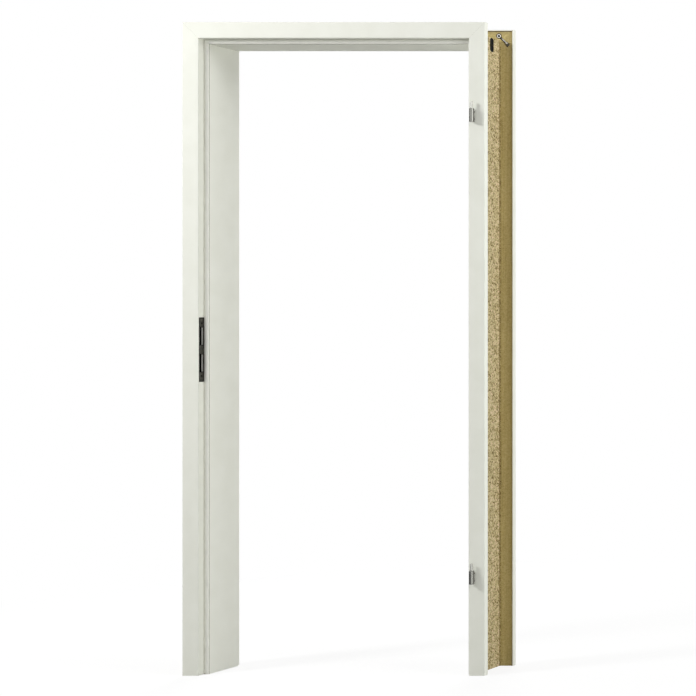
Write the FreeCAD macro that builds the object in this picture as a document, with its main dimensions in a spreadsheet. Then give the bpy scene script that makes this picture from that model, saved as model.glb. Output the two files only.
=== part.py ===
import FreeCAD, Part
import math
import os
from types import SimpleNamespace

import Sketcher
from FreeCAD import Placement, Rotation, Vector

# A wrap-around timber door frame for an 885 x 2005 mm wall opening, seen from the side
# that the leaf closes on. Hinges are on the right, the strike plate on the left.
# +X runs to the right, +Y from the rebated face into the wall, +Z up.
# Every body is drawn with the rebated face at Y = 0 and placed back by front_y,
# which puts the whole frame's footprint centre at the origin.

# Driving dimensions in millimetres: name, value, meaning.
DRIVING = [
    ("passage_width", 811, "clear width between the jamb linings"),
    ("passage_height", 1968, "clear height below the head lining"),
    ("rebate_width", 15, "step from a lining's face out to the rebate's side"),
    ("rebate_depth", 25.5, "depth of the rebate behind the rebated face"),
    ("lining_thick", 25, "thickness of the lining boards"),
    ("lining_back", 150, "rebated face to the linings' rear edge"),
    ("lining_round", 1.5, "rounding of the linings' edges"),
    ("jamb_rise", 10, "jamb lining above the head lining's top"),
    ("housing_deep", 8, "how far the head lining is let into a jamb lining"),
    ("face_width", 50, "face of the rebate architrave"),
    ("board_thick", 16, "thickness of both architraves"),
    ("block_width", 21, "thick part of the rebate architrave beside the rebate"),
    ("face_round", 2, "rounding of the architraves' edges"),
    ("front_tongue", 4, "thickness of the rebate architrave's tongue"),
    ("front_tongue_long", 10, "length of that tongue"),
    ("front_tongue_inset", 3, "rebate's side to that tongue"),
    ("glue_gap", 0.1, "clearance on each side of a glued or screwed joint"),
    ("screw_point", 1, "chamfer on a wood screw's tip"),
    ("rear_width", 60, "width of the rear architrave"),
    ("rear_setback", 8.5, "a lining's face out to the rear architrave"),
    ("rear_tongue", 6, "thickness of the rear architrave's tongue"),
    ("rear_tongue_long", 24, "length of that tongue"),
    ("rear_tongue_inset", 3.5, "rear architrave's inner edge to its tongue"),
    ("slide_gap", 0.2, "clearance on each side of the sliding tongue"),
    ("rear_seat", 0.3, "linings' rear edge to the rear architrave at rest"),
    ("tongue_end_gap", 1, "end of a tongue to the bottom of its groove"),
    ("relief_deep", 1.8, "relief in the rear architrave's wall side"),
    ("relief_inset", 19, "rear architrave's inner edge to the relief"),
    ("relief_rim", 3.5, "rim left between the relief and the outer edge"),
    ("seal_width", 12.5, "width of the rebate seal"),
    ("seal_side", 1.5, "height of the seal's straight sides"),
    ("seal_radius", 7.4, "radius of the seal's arched top"),
    ("seal_wall", 1.1, "wall of the seal"),
    ("seal_stem", 2.8, "thickness of the seal's foot"),
    ("seal_stem_long", 6, "length of the seal's foot"),
    ("strike_height", 1014, "floor to the middle of the strike plate"),
    ("strike_long", 201, "length of the strike plate"),
    ("strike_width", 22.2, "width of the strike plate"),
    ("strike_thick", 1.5, "thickness of the strike plate"),
    ("strike_front", 3, "rebated face to the strike plate"),
    ("strike_corner", 2, "corner radius of the strike plate"),
    ("strike_end", 30, "strike plate's end to the nearer window"),
    ("window_wide", 15.2, "width of both windows"),
    ("window_border", 3, "plate in front of the windows"),
    ("window_middle", 27, "plate between the windows"),
    ("lip_deep", 6, "lip folded in behind each window, from the plate's face"),
    ("lip_inset", 1.5, "window's end to the end of its lip"),
    ("strike_screw_inset", 18.5, "strike plate's end to its screw"),
    ("strike_screw_dia", 4, "strike plate screw's diameter"),
    ("strike_screw_long", 17, "strike plate screw's length"),
    ("strike_sink", 1.3, "countersink of the strike plate's holes"),
    ("box_wall", 1, "wall of the strike box"),
    ("box_deep", 23, "depth of the strike box behind the plate"),
    ("box_room", 0.3, "room between the windows and the box's inside"),
    ("hinge_drop", 241, "rebate's top to the upper hinge"),
    ("hinge_rise", 307, "floor to the lower hinge"),
    ("hinge_inset", 14.5, "rebate's side to the hinge axis"),
    ("hinge_stand", 9.5, "hinge axis in front of the rebated face"),
    ("knuckle_dia", 15, "hinge knuckle's diameter"),
    ("knuckle_long", 42, "hinge knuckle's length"),
    ("knuckle_edge", 0.8, "chamfer on the knuckle's ends"),
    ("pin_dia", 7, "free end of the hinge pin"),
    ("pin_free", 22, "how far the pin stands above the knuckle"),
    ("pin_root_dia", 6, "pin inside the knuckle"),
    ("pin_root_long", 34, "length of the pin inside the knuckle"),
    ("pin_nose", 1.5, "chamfer on the pin's tip"),
    ("stud_dia", 8, "hinge stud's diameter"),
    ("stud_pitch", 23, "between a hinge's two studs"),
    ("stud_long", 23, "stud behind the rebated face"),
    ("stud_seat", 5, "stud's front end in front of the rebated face"),
    ("hinge_fit", 0.05, "radial clearance of a stud and of a pin's root"),
    ("stud_hole_gap", 0.6, "radial room round a stud in the architrave"),
    ("receiver_high", 65, "height of the hinge receiver"),
    ("receiver_inner", 10.4, "receiver from the hinge axis towards the rebate"),
    ("receiver_outer", 6.2, "receiver from the hinge axis away from the rebate"),
    ("receiver_skin", 6, "architrave left in front of the receiver"),
    ("receiver_gap", 0.3, "room round the receiver in its pocket"),
    ("flange_thick", 3, "thickness of the receiver's flange"),
    ("flange_end", 62, "rebated face to the end of the flange"),
    ("flange_screw_first", 37, "rebated face to the first pair of flange screws"),
    ("flange_screw_next", 17, "first pair of flange screws to the second"),
    ("flange_screw_pitch", 44, "flange screws apart in height"),
    ("flange_screw_dia", 4, "flange screw's diameter"),
    ("flange_screw_long", 16, "flange screw's length"),
    ("flange_sink", 1.8, "countersink of the flange's holes"),
    ("flange_round", 6, "rounding of the flange's free corners"),
    ("clamp_screw_dia", 7, "grub screw that clamps a stud"),
    ("clamp_key", 3.5, "across flats of the grub screw's key socket"),
    ("clamp_key_deep", 3, "depth of that socket"),
    ("clamp_key_hole", 6, "hole in the rebate's side for its key"),
    ("connector_long", 45, "height of a corner connector"),
    ("connector_wide", 20, "width of a corner connector"),
    ("connector_deep", 10, "depth of a corner connector"),
    ("connector_end", 10.6, "radius of a corner connector's ends"),
    ("connector_rear", 42.5, "linings' rear edge to the rear connectors"),
    ("connector_front", 22, "rebate's bottom to the front connectors"),
    ("connector_rim", 2, "wall round a corner connector's recess"),
    ("connector_recess", 2.5, "depth of that recess"),
    ("connector_boss", 12, "boss round a corner connector's screw"),
    ("connector_screw_dia", 5, "corner connector screw's diameter"),
    ("connector_screw_long", 50, "corner connector screw's length"),
    ("connector_sink", 2.3, "countersink of a corner connector's hole"),
    ("biscuit_long", 40, "length of a mitre biscuit"),
    ("biscuit_wide", 15, "width of a mitre biscuit"),
    ("biscuit_thick", 4, "thickness of a mitre biscuit"),
    ("mitre_middle", 27, "rear architrave's inner edge to its mitre connector"),
    ("mitre_reach", 19.2, "mitre to the middle of the cam and of the bolt's head"),
    ("cam_dia", 15, "mitre connector's cam"),
    ("cam_high", 12.5, "height of the cam"),
    ("cam_key", 6, "across flats of the cam's key socket"),
    ("cam_key_deep", 4, "depth of that socket"),
    ("cam_bore", 7, "side bore of the cam"),
    ("mitre_bolt_dia", 6, "mitre connector's bolt"),
    ("mitre_head_dia", 12.6, "head of that bolt"),
    ("mitre_head_thick", 3.5, "thickness of that head"),
    ("mitre_pocket_deep", 13, "depth of the pockets for cam and bolt"),
    ("mitre_channel", 7.4, "width of the slot for the bolt"),
]

doc = FreeCAD.newDocument("door_frame")
sheet = doc.addObject("Spreadsheet::Sheet", "Sheet")


class Size:
    """A length that knows its number and the sheet expression that gives it."""

    def __init__(self, number, text):
        self.number = float(number)
        self.text = text

    def __add__(self, other):
        other = as_size(other)
        return Size(self.number + other.number, f"({self.text} + {other.text})")

    def __sub__(self, other):
        other = as_size(other)
        return Size(self.number - other.number, f"({self.text} - {other.text})")

    def __mul__(self, other):
        other = as_size(other)
        return Size(self.number * other.number, f"({self.text} * {other.text})")

    def __truediv__(self, other):
        other = as_size(other)
        return Size(self.number / other.number, f"({self.text} / {other.text})")

    def __neg__(self):
        return self * -1

    def __rmul__(self, other):
        return as_size(other) * self


def as_size(value):
    """A plain number becomes a Size with no cell behind it."""
    return value if isinstance(value, Size) else Size(value, repr(value))


def fill_sheet():
    """Write the driving dimensions into the sheet and return them by name."""
    sizes = {}
    for row, (alias, value, meaning) in enumerate(DRIVING, start=1):
        sheet.set(f"A{row}", alias)
        sheet.set(f"B{row}", str(value))
        sheet.set(f"C{row}", meaning)
        sheet.setAlias(f"B{row}", alias)
        sizes[alias] = Size(value, f"Sheet.{alias}")
    doc.recompute()
    return SimpleNamespace(**sizes)


d = fill_sheet()

ZERO = as_size(0)
THROUGH = d.passage_width + d.passage_height  # longer than anything that is cut through
OVERCUT = as_size(1)  # how far a cut starts outside the solid
TOUCH = 1e-4  # an edge this near to a point passes through it
ROOT_2 = math.sqrt(2)
RECESS_REACH = 0.6  # a cross recess, as shares of its head's radius
RECESS_HALF_WIDTH = 0.14

# Lines of the frame's section: distances across from the middle, and depths from the face.
lining_in = d.passage_width / 2
lining_out = lining_in + d.lining_thick
rebate_side = lining_in + d.rebate_width
block_out = rebate_side + d.block_width
face_out = rebate_side + d.face_width
rear_in = lining_in + d.rear_setback
rear_out = rear_in + d.rear_width
rear_wall_side = d.lining_back + d.rear_seat
frame_back = rear_wall_side + d.board_thick
hinge_across = rebate_side + d.hinge_inset
front_y = (d.hinge_stand + d.knuckle_dia / 2 - frame_back) / 2

# Heights above the floor. A line of the head lies as far above the passage
# as the same line of a jamb lies beside it.
head_rise = d.passage_height - lining_in
rebate_top = head_rise + rebate_side
jamb_top = d.passage_height + d.lining_thick + d.jamb_rise
half_way_up = d.passage_height / 2
upper_hinge = rebate_top - d.hinge_drop
lower_hinge = d.hinge_rise

# Grooves in the edges of the linings.
seal_middle = lining_in + d.rebate_width / 2
seal_groove_in = seal_middle - d.seal_stem / 2 - d.glue_gap
seal_groove_out = seal_middle + d.seal_stem / 2 + d.glue_gap
seal_groove_bottom = d.rebate_depth + d.seal_stem_long + d.tongue_end_gap
front_tongue_in = rebate_side + d.front_tongue_inset
front_tongue_out = front_tongue_in + d.front_tongue
front_groove_bottom = d.rebate_depth + d.front_tongue_long + d.tongue_end_gap
rear_tongue_in = rear_in + d.rear_tongue_inset
rear_tongue_out = rear_tongue_in + d.rear_tongue
rear_groove_bottom = d.lining_back - d.rear_tongue_long - d.tongue_end_gap


def feature_of(body, kind):
    return body.newObject(kind, f"{body.Name}_{kind.split('::')[1].lower()}")


def new_body(label, height=ZERO):
    """A body whose own Y = 0 is the rebated face, at a height above the floor."""
    body = doc.addObject("PartDesign::Body", label)
    body.Label = label
    body.setExpression("Placement.Base.y", front_y.text)
    body.setExpression("Placement.Base.z", height.text)
    return body


def sketch_on(body, role, at=(0, 0, 0), turn=0):
    """A sketch on one of the body's own planes, shifted and turned in that plane."""
    plane = next(f for f in body.Origin.OriginFeatures if f.Role == role)
    sketch = feature_of(body, "Sketcher::SketchObject")
    sketch.AttachmentSupport = [(plane, "")]
    sketch.MapMode = "FlatFace"
    offset = [as_size(value) for value in at]
    base = Vector(*[value.number for value in offset])
    sketch.AttachmentOffset = Placement(base, Rotation(Vector(0, 0, 1), turn))
    for axis, value in zip("xyz", offset):
        sketch.setExpression(f"AttachmentOffset.Base.{axis}", value.text)
    return sketch


def constrain(sketch, constraint, value):
    index = sketch.addConstraint(constraint)
    sketch.setExpression(f"Constraints[{index}]", value.text)


def hold(sketch, geometry, point, x, y):
    """Fix a point of a sketch by its two distances from the sketch's origin."""
    for kind, value in (("DistanceX", x), ("DistanceY", y)):
        constrain(sketch, Sketcher.Constraint(kind, -1, 1, geometry, point, value.number), value)


def arc_between(start, end, radius):
    """The short arc whose bulge lies to the right of the way from start to end."""
    half = (end - start) / 2
    rise = math.sqrt(max(radius ** 2 - half.Length ** 2, 0))
    left = Vector(-half.y, half.x, 0).normalize()
    centre = start + half + left * rise
    circle_line = Part.Circle(centre, Vector(0, 0, 1), radius)
    return Part.ArcOfCircle(circle_line, circle_line.parameter(start), circle_line.parameter(end))


def outline(sketch, corners, arcs=None):
    """A closed loop through the corners. arcs gives, for a corner's number, the radius
    of the arc that leads from it to the next, bulging right; other sides are straight."""
    arcs = arcs or {}
    corners = [(as_size(x), as_size(y)) for x, y in corners]
    points = [Vector(x.number, y.number, 0) for x, y in corners]
    first = sketch.GeometryCount
    count = len(points)
    for number, start in enumerate(points):
        end = points[(number + 1) % count]
        if number in arcs:
            sketch.addGeometry(arc_between(start, end, arcs[number].number))
        else:
            sketch.addGeometry(Part.LineSegment(start, end))
    for number, (x, y) in enumerate(corners):
        following = first + (number + 1) % count
        sketch.addConstraint(Sketcher.Constraint("Coincident", first + number, 2, following, 1))
        hold(sketch, first + number, 1, x, y)
        if number in arcs:
            radius = arcs[number]
            constrain(sketch, Sketcher.Constraint("Radius", first + number, radius.number), radius)


def rectangle(sketch, x_low, x_high, y_low, y_high):
    outline(sketch, [(x_low, y_low), (x_high, y_low), (x_high, y_high), (x_low, y_high)])


def circle(sketch, x, y, diameter):
    x, y = as_size(x), as_size(y)
    centre = Vector(x.number, y.number, 0)
    index = sketch.addGeometry(Part.Circle(centre, Vector(0, 0, 1), diameter.number / 2))
    hold(sketch, index, 3, x, y)
    constrain(sketch, Sketcher.Constraint("Diameter", index, diameter.number), diameter)


def hexagon(sketch, x, y, across_flats):
    """A key socket with two corners on the sketch's horizontal line."""
    corner = across_flats / math.sqrt(3)
    half = across_flats / 2
    outline(sketch, [
        (x + corner, y), (x + corner / 2, y + half), (x - corner / 2, y + half),
        (x - corner, y), (x - corner / 2, y - half), (x + corner / 2, y - half),
    ])


def extrude(body, kind, sketch, length, side):
    feature = feature_of(body, kind)
    feature.Profile = sketch
    feature.setExpression("Length", length.text)
    feature.Length = length.number
    feature.SideType = "Symmetric" if side == "both" else "One side"
    # A pad grows along its sketch's normal by itself, and a pocket cuts against it.
    feature.Reversed = side == ("back" if kind.endswith("Pad") else "ahead")
    sketch.Visibility = False
    doc.recompute()
    return feature


def pad(body, sketch, length, side="ahead"):
    """Add material ahead of the sketch, back from it or to both sides."""
    return extrude(body, "PartDesign::Pad", sketch, length, side)


def pocket(body, sketch, length, side):
    """Cut ahead of the sketch, back from it or to both sides, and prove that it cut."""
    before = body.Shape.Volume
    feature = extrude(body, "PartDesign::Pocket", sketch, length, side)
    if body.Shape.Volume >= before:
        raise RuntimeError(f"{body.Label}: {feature.Name} cut nothing")
    return feature


def edges_at(body, points):
    """Names of the tip's edges that pass through the given points of the body's frame."""
    tip = body.Tip
    names = []
    for point in points:
        spot = Part.Vertex(Vector(*[as_size(value).number for value in point]))
        for number, edge in enumerate(tip.Shape.Edges, start=1):
            if edge.distToShape(spot)[0] < TOUCH:
                names.append(f"Edge{number}")
    return names


def soften(body, kind, size, points):
    """Fillet or chamfer the edges that pass through the points."""
    names = edges_at(body, points)
    if len(names) != len(points):
        raise RuntimeError(f"{body.Label}: {len(names)} edges found for {len(points)} points")
    base = body.Tip
    feature = feature_of(body, kind)
    feature.Base = (base, names)
    size_name = "Radius" if kind.endswith("Fillet") else "Size"
    feature.setExpression(size_name, size.text)
    doc.recompute()
    return feature


def turned(body, corners):
    """Revolve a half section, drawn as radius and height, about the body's own Z."""
    sketch = sketch_on(body, "XZ_Plane")
    outline(sketch, corners)
    feature = feature_of(body, "PartDesign::Revolution")
    feature.Profile = sketch
    feature.ReferenceAxis = (sketch, ["V_Axis"])
    feature.Angle = 360
    sketch.Visibility = False
    doc.recompute()
    return feature


def set_of(label, pattern, places):
    """Like pieces in one node: links to a pattern body, each at its own place."""
    links = []
    for number, (x, y, z, rotation) in enumerate(places, start=1):
        link = doc.addObject("App::Link", f"{label}_{number}")
        link.LinkedObject = pattern
        link.Placement = Placement(Vector(x.number, y.number, z.number), rotation)
        for axis, value in (("x", x), ("y", y), ("z", z)):
            link.setExpression(f"Placement.Base.{axis}", value.text)
        links.append(link)
    group = doc.addObject("Part::Compound", label)
    group.Label = label
    group.Links = links
    return group


def pattern_body(label):
    """A body drawn about its own origin, which only links show."""
    body = doc.addObject("PartDesign::Body", label)
    body.Label = label
    return body


# A pattern body's Z turned outwards along X, with its own Y kept upright.
TO_PLUS_X = Rotation(Vector(0, 1, 0), Vector(0, 0, 1), Vector(1, 0, 0), "ZXY")
TO_MINUS_X = Rotation(Vector(0, -1, 0), Vector(0, 0, 1), Vector(-1, 0, 0), "ZXY")


def lining_section():
    """A lining's outline as (across, depth), from its front inner corner onwards."""
    return [
        (lining_in, d.rebate_depth),
        (seal_groove_in, d.rebate_depth),
        (seal_groove_in, seal_groove_bottom),
        (seal_groove_out, seal_groove_bottom),
        (seal_groove_out, d.rebate_depth),
        (front_tongue_in - d.glue_gap, d.rebate_depth),
        (front_tongue_in - d.glue_gap, front_groove_bottom),
        (front_tongue_out + d.glue_gap, front_groove_bottom),
        (front_tongue_out + d.glue_gap, d.rebate_depth),
        (lining_out, d.rebate_depth),
        (lining_out, d.lining_back),
        (rear_tongue_out + d.slide_gap, d.lining_back),
        (rear_tongue_out + d.slide_gap, rear_groove_bottom),
        (rear_tongue_in - d.slide_gap, rear_groove_bottom),
        (rear_tongue_in - d.slide_gap, d.lining_back),
        (lining_in, d.lining_back),
    ]


# Depths at which the corner connectors sit, rear one first.
connector_depths = (
    d.lining_back - d.connector_rear,
    seal_groove_bottom + d.connector_front,
)
connector_height = d.passage_height + d.lining_thick / 2
connector_screw_hole = d.connector_screw_dia + d.glue_gap * 2
flange_screw_hole = d.flange_screw_dia + d.glue_gap * 2


def half_chord_drop(radius, half_chord):
    """Distance from an arc's centre to its chord."""
    number = math.sqrt(radius.number ** 2 - half_chord.number ** 2)
    return Size(number, f"sqrt({radius.text} ^ 2 - {half_chord.text} ^ 2)")


def connector_outline(sketch, x, y, room):
    """The long rounded outline of a corner connector, with room added all round."""
    half_wide = d.connector_wide / 2 + room
    half_long = d.connector_long / 2 + room
    sagitta = d.connector_end - half_chord_drop(d.connector_end, half_wide)
    shoulder = half_long - sagitta
    outline(sketch, [
        (x + half_wide, y - shoulder), (x + half_wide, y + shoulder),
        (x - half_wide, y + shoulder), (x - half_wide, y - shoulder),
    ], arcs={1: d.connector_end, 3: d.connector_end})


def lining_jamb(label, side):
    """A jamb lining: full height, with the head lining's housing near its top."""
    body = new_body(label)
    profile = sketch_on(body, "XY_Plane")
    outline(profile, [(across * side, depth) for across, depth in lining_section()])
    pad(body, profile, jamb_top)
    rounded = [
        (lining_in * side, depth, half_way_up) for depth in (d.rebate_depth, d.lining_back)
    ]
    soften(body, "PartDesign::Fillet", d.lining_round, rounded)

    housing = sketch_on(body, "XZ_Plane")
    rectangle(
        housing, (lining_in - OVERCUT) * side, (lining_in + d.housing_deep) * side,
        d.passage_height, d.passage_height + d.lining_thick,
    )
    pocket(body, housing, THROUGH, "both")

    # The tongues of the head's architraves run on into the jamb at these heights.
    crossings = [
        (front_tongue_in - d.glue_gap, front_tongue_out + d.glue_gap,
         d.rebate_depth, front_groove_bottom, "back"),
        (rear_tongue_in - d.slide_gap, rear_tongue_out + d.slide_gap,
         d.lining_back, rear_groove_bottom, "ahead"),
    ]
    for inner, outer, mouth, bottom, way in crossings:
        crossing = sketch_on(body, "XZ_Plane", at=(0, 0, -mouth))
        rectangle(
            crossing, (lining_in - OVERCUT) * side, outer * side,
            head_rise + inner, head_rise + outer,
        )
        pocket(body, crossing, bottom - mouth if way == "back" else mouth - bottom, way)

    outward = "ahead" if side > 0 else "back"
    inward = "back" if side > 0 else "ahead"
    for depth in connector_depths:
        seat = sketch_on(body, "YZ_Plane", at=(0, 0, lining_out * side))
        connector_outline(seat, depth, connector_height, d.glue_gap)
        pocket(body, seat, d.connector_deep, inward)
        hole = sketch_on(body, "YZ_Plane", at=(0, 0, lining_in * side))
        circle(hole, depth, connector_height, connector_screw_hole)
        pocket(body, hole, d.lining_thick, outward)
    return body


def lining_head():
    """The head lining, let into both jambs."""
    body = new_body("lining_head")
    profile = sketch_on(body, "YZ_Plane")
    outline(profile, [(depth, head_rise + across) for across, depth in lining_section()])
    pad(body, profile, (lining_in + d.housing_deep) * 2, "both")
    rounded = [(0, depth, d.passage_height) for depth in (d.rebate_depth, d.lining_back)]
    soften(body, "PartDesign::Fillet", d.lining_round, rounded)
    pilot = d.connector_screw_long - (d.lining_thick - d.housing_deep) + d.tongue_end_gap
    for side, inward in ((1, "back"), (-1, "ahead")):
        end = sketch_on(body, "YZ_Plane", at=(0, 0, (lining_in + d.housing_deep) * side))
        for depth in connector_depths:
            circle(end, depth, connector_height, connector_screw_hole)
        pocket(body, end, pilot, inward)
        # The foot of a jamb's seal runs up past the head lining's end.
        notch = sketch_on(body, "XZ_Plane", at=(0, 0, -d.rebate_depth))
        rectangle(
            notch, seal_groove_in * side, (lining_in + d.housing_deep + OVERCUT) * side,
            d.passage_height - OVERCUT, head_rise + seal_groove_out,
        )
        pocket(body, notch, seal_groove_bottom - d.rebate_depth, "back")
    return body


def receiver_screw_spots(height):
    """Depth and height of the four screws of a receiver's flange."""
    spots = []
    for row in (0, 1):
        for up in (-1, 1):
            depth = d.flange_screw_first + d.flange_screw_next * row
            spots.append((depth, height + d.flange_screw_pitch / 2 * up))
    return spots


def drill_receiver_screws(body):
    """Pilot holes for both receivers in the back of the hinge side lining."""
    back = sketch_on(body, "YZ_Plane", at=(0, 0, lining_out))
    for height in (upper_hinge, lower_hinge):
        for depth, level in receiver_screw_spots(height):
            circle(back, depth, level, flange_screw_hole)
    pocket(body, back, d.flange_screw_long - d.flange_thick + d.tongue_end_gap, "back")


def rebate_architrave_section():
    """The rebate architrave's outline as (across, depth)."""
    return [
        (rebate_side, ZERO),
        (face_out, ZERO),
        (face_out, d.board_thick),
        (block_out, d.board_thick),
        (block_out, d.rebate_depth),
        (front_tongue_out, d.rebate_depth),
        (front_tongue_out, d.rebate_depth + d.front_tongue_long),
        (front_tongue_in, d.rebate_depth + d.front_tongue_long),
        (front_tongue_in, d.rebate_depth),
        (rebate_side, d.rebate_depth),
    ]


def rear_architrave_section():
    """The rear architrave's outline as (across, depth)."""
    relief_floor = rear_wall_side + d.relief_deep
    return [
        (rear_in, rear_wall_side),
        (rear_tongue_in, rear_wall_side),
        (rear_tongue_in, rear_wall_side - d.rear_tongue_long),
        (rear_tongue_out, rear_wall_side - d.rear_tongue_long),
        (rear_tongue_out, rear_wall_side),
        (rear_in + d.relief_inset, rear_wall_side),
        (rear_in + d.relief_inset, relief_floor),
        (rear_out - d.relief_rim, relief_floor),
        (rear_out - d.relief_rim, rear_wall_side),
        (rear_out, rear_wall_side),
        (rear_out, frame_back),
        (rear_in, frame_back),
    ]


def cut_mitre(body, side, inner, outer, keep):
    """Saw off a board at 45 degrees on the line that the jamb and the head share."""
    width = outer - inner
    low, high = inner - width, outer + width
    saw = sketch_on(body, "XZ_Plane")
    corner = (low * side, head_rise + high) if keep == "jamb" else (high * side, head_rise + low)
    outline(saw, [(low * side, head_rise + low), (high * side, head_rise + high), corner])
    pocket(body, saw, THROUGH, "both")


def mitred_jamb(label, side, section, inner, outer, rounded):
    """An upright architrave, mitred at the top."""
    body = new_body(label)
    profile = sketch_on(body, "XY_Plane")
    outline(profile, [(across * side, depth) for across, depth in section])
    pad(body, profile, head_rise + outer)
    edges = [(across * side, depth, half_way_up) for across, depth in rounded]
    soften(body, "PartDesign::Fillet", d.face_round, edges)
    cut_mitre(body, side, inner, outer, "jamb")
    return body


def mitred_head(label, section, inner, outer, rounded):
    """A head architrave, mitred at both ends."""
    body = new_body(label)
    profile = sketch_on(body, "YZ_Plane")
    outline(profile, [(depth, head_rise + across) for across, depth in section])
    pad(body, profile, outer * 2, "both")
    edges = [(0, depth, head_rise + across) for across, depth in rounded]
    soften(body, "PartDesign::Fillet", d.face_round, edges)
    for side in (1, -1):
        cut_mitre(body, side, inner, outer, "head")
    return body


# The biscuits lie in the middle of the face board's mitre, halfway through its thickness.
biscuit_across = (block_out + face_out) / 2
biscuit_sagitta = d.biscuit_wide / 2
biscuit_radius = (d.biscuit_long * d.biscuit_long / 4 + biscuit_sagitta * biscuit_sagitta) / (
    biscuit_sagitta * 2)


def biscuit_outline(sketch, room):
    half = d.biscuit_long / 2 + room
    radius = biscuit_radius + room
    outline(sketch, [(-half, ZERO), (half, ZERO)], arcs={0: radius, 1: radius})


def cut_biscuit_slot(body, side):
    slot = sketch_on(
        body, "XZ_Plane", turn=45 * side,
        at=(biscuit_across * side, head_rise + biscuit_across, -d.board_thick / 2),
    )
    biscuit_outline(slot, d.glue_gap)
    pocket(body, slot, d.biscuit_thick + d.glue_gap * 2, "both")


def rebate_architrave(label, side):
    edges = [(rebate_side, 0), (face_out, 0)]
    section = rebate_architrave_section()
    if side:
        body = mitred_jamb(label, side, section, rebate_side, face_out, edges)
    else:
        body = mitred_head(label, section, rebate_side, face_out, edges)
    for end in ([side] if side else (1, -1)):
        cut_biscuit_slot(body, end)
    return body


# The strike plate's windows: the latch window above, the bolt window below.
window_front = d.strike_front + d.window_border
window_rear = window_front + d.window_wide
window_long = (d.strike_long - d.window_middle) / 2 - d.strike_end
window_heights = [d.strike_height + (d.window_middle + window_long) / 2 * up for up in (1, -1)]
strike_middle = d.strike_front + d.strike_width / 2
strike_screw_heights = [
    d.strike_height + (d.strike_long / 2 - d.strike_screw_inset) * up for up in (1, -1)
]
box_front = window_front - d.box_room - d.box_wall
box_rear = window_rear + d.strike_thick + d.box_room + d.box_wall
box_half = d.window_middle / 2 + window_long + d.box_room + d.box_wall
strike_screw_hole = d.strike_screw_dia + d.glue_gap * 2


def plate_outline(sketch, room):
    rectangle(
        sketch, d.strike_front - room, d.strike_front + d.strike_width + room,
        d.strike_height - d.strike_long / 2 - room, d.strike_height + d.strike_long / 2 + room,
    )


def cut_strike_seat(body):
    """The plate's recess, the box's pocket and the screws' pilot holes, in the rebate's side."""
    recess = sketch_on(body, "YZ_Plane", at=(0, 0, -rebate_side))
    plate_outline(recess, d.glue_gap)
    pocket(body, recess, d.strike_thick, "back")
    box_pocket = sketch_on(body, "YZ_Plane", at=(0, 0, -rebate_side))
    rectangle(
        box_pocket, box_front - d.glue_gap, box_rear + d.glue_gap,
        d.strike_height - box_half - d.glue_gap, d.strike_height + box_half + d.glue_gap,
    )
    pocket(body, box_pocket, d.strike_thick + d.box_deep + d.glue_gap, "back")
    pilots = sketch_on(body, "YZ_Plane", at=(0, 0, -rebate_side))
    for level in strike_screw_heights:
        circle(pilots, strike_middle, level, strike_screw_hole)
    pocket(body, pilots, d.strike_screw_long + d.tongue_end_gap, "back")


def strike_plate():
    """One folded plate: two windows, each with a lip turned in behind it."""
    body = new_body("strike_plate")
    face = sketch_on(body, "YZ_Plane", at=(0, 0, -rebate_side))
    plate_outline(face, ZERO)
    pad(body, face, d.strike_thick, "back")
    corners = [
        (-(rebate_side + d.strike_thick / 2), d.strike_front + d.strike_width * across,
         d.strike_height + d.strike_long / 2 * up)
        for across in (0, 1) for up in (1, -1)
    ]
    soften(body, "PartDesign::Fillet", d.strike_corner, corners)
    windows = sketch_on(body, "YZ_Plane", at=(0, 0, -rebate_side))
    for middle in window_heights:
        rectangle(
            windows, window_front, window_rear, middle - window_long / 2, middle + window_long / 2,
        )
    pocket(body, windows, d.strike_thick, "back")
    lips = sketch_on(body, "YZ_Plane", at=(0, 0, -rebate_side))
    for middle in window_heights:
        rectangle(
            lips, window_rear, window_rear + d.strike_thick,
            middle - window_long / 2 + d.lip_inset, middle + window_long / 2 - d.lip_inset,
        )
    pad(body, lips, d.lip_deep, "back")
    holes = sketch_on(body, "YZ_Plane", at=(0, 0, -rebate_side))
    for level in strike_screw_heights:
        circle(holes, strike_middle, level, strike_screw_hole)
    pocket(body, holes, d.strike_thick, "back")
    rims = [
        (-rebate_side, strike_middle, level + strike_screw_hole / 2)
        for level in strike_screw_heights
    ]
    soften(body, "PartDesign::Chamfer", d.strike_sink, rims)
    return body


def strike_box():
    """The moulded box behind the plate, with a chamber for the latch and one for the bolt."""
    body = new_body("strike_box")
    mouth = rebate_side + d.strike_thick
    outside = sketch_on(body, "YZ_Plane", at=(0, 0, -mouth))
    rectangle(
        outside, box_front, box_rear, d.strike_height - box_half, d.strike_height + box_half,
    )
    pad(body, outside, d.box_deep, "back")
    chambers = sketch_on(body, "YZ_Plane", at=(0, 0, -mouth))
    half_middle = d.window_middle / 2 - d.box_room
    web = d.box_wall
    levels = [
        (half_middle, box_half - web),
        (-half_middle + web, half_middle - web),
        (-box_half + web, -half_middle),
    ]
    for low, high in levels:
        rectangle(
            chambers, box_front + d.box_wall, box_rear - d.box_wall,
            d.strike_height + low, d.strike_height + high,
        )
    pocket(body, chambers, d.box_deep - d.box_wall, "back")
    return body


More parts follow.
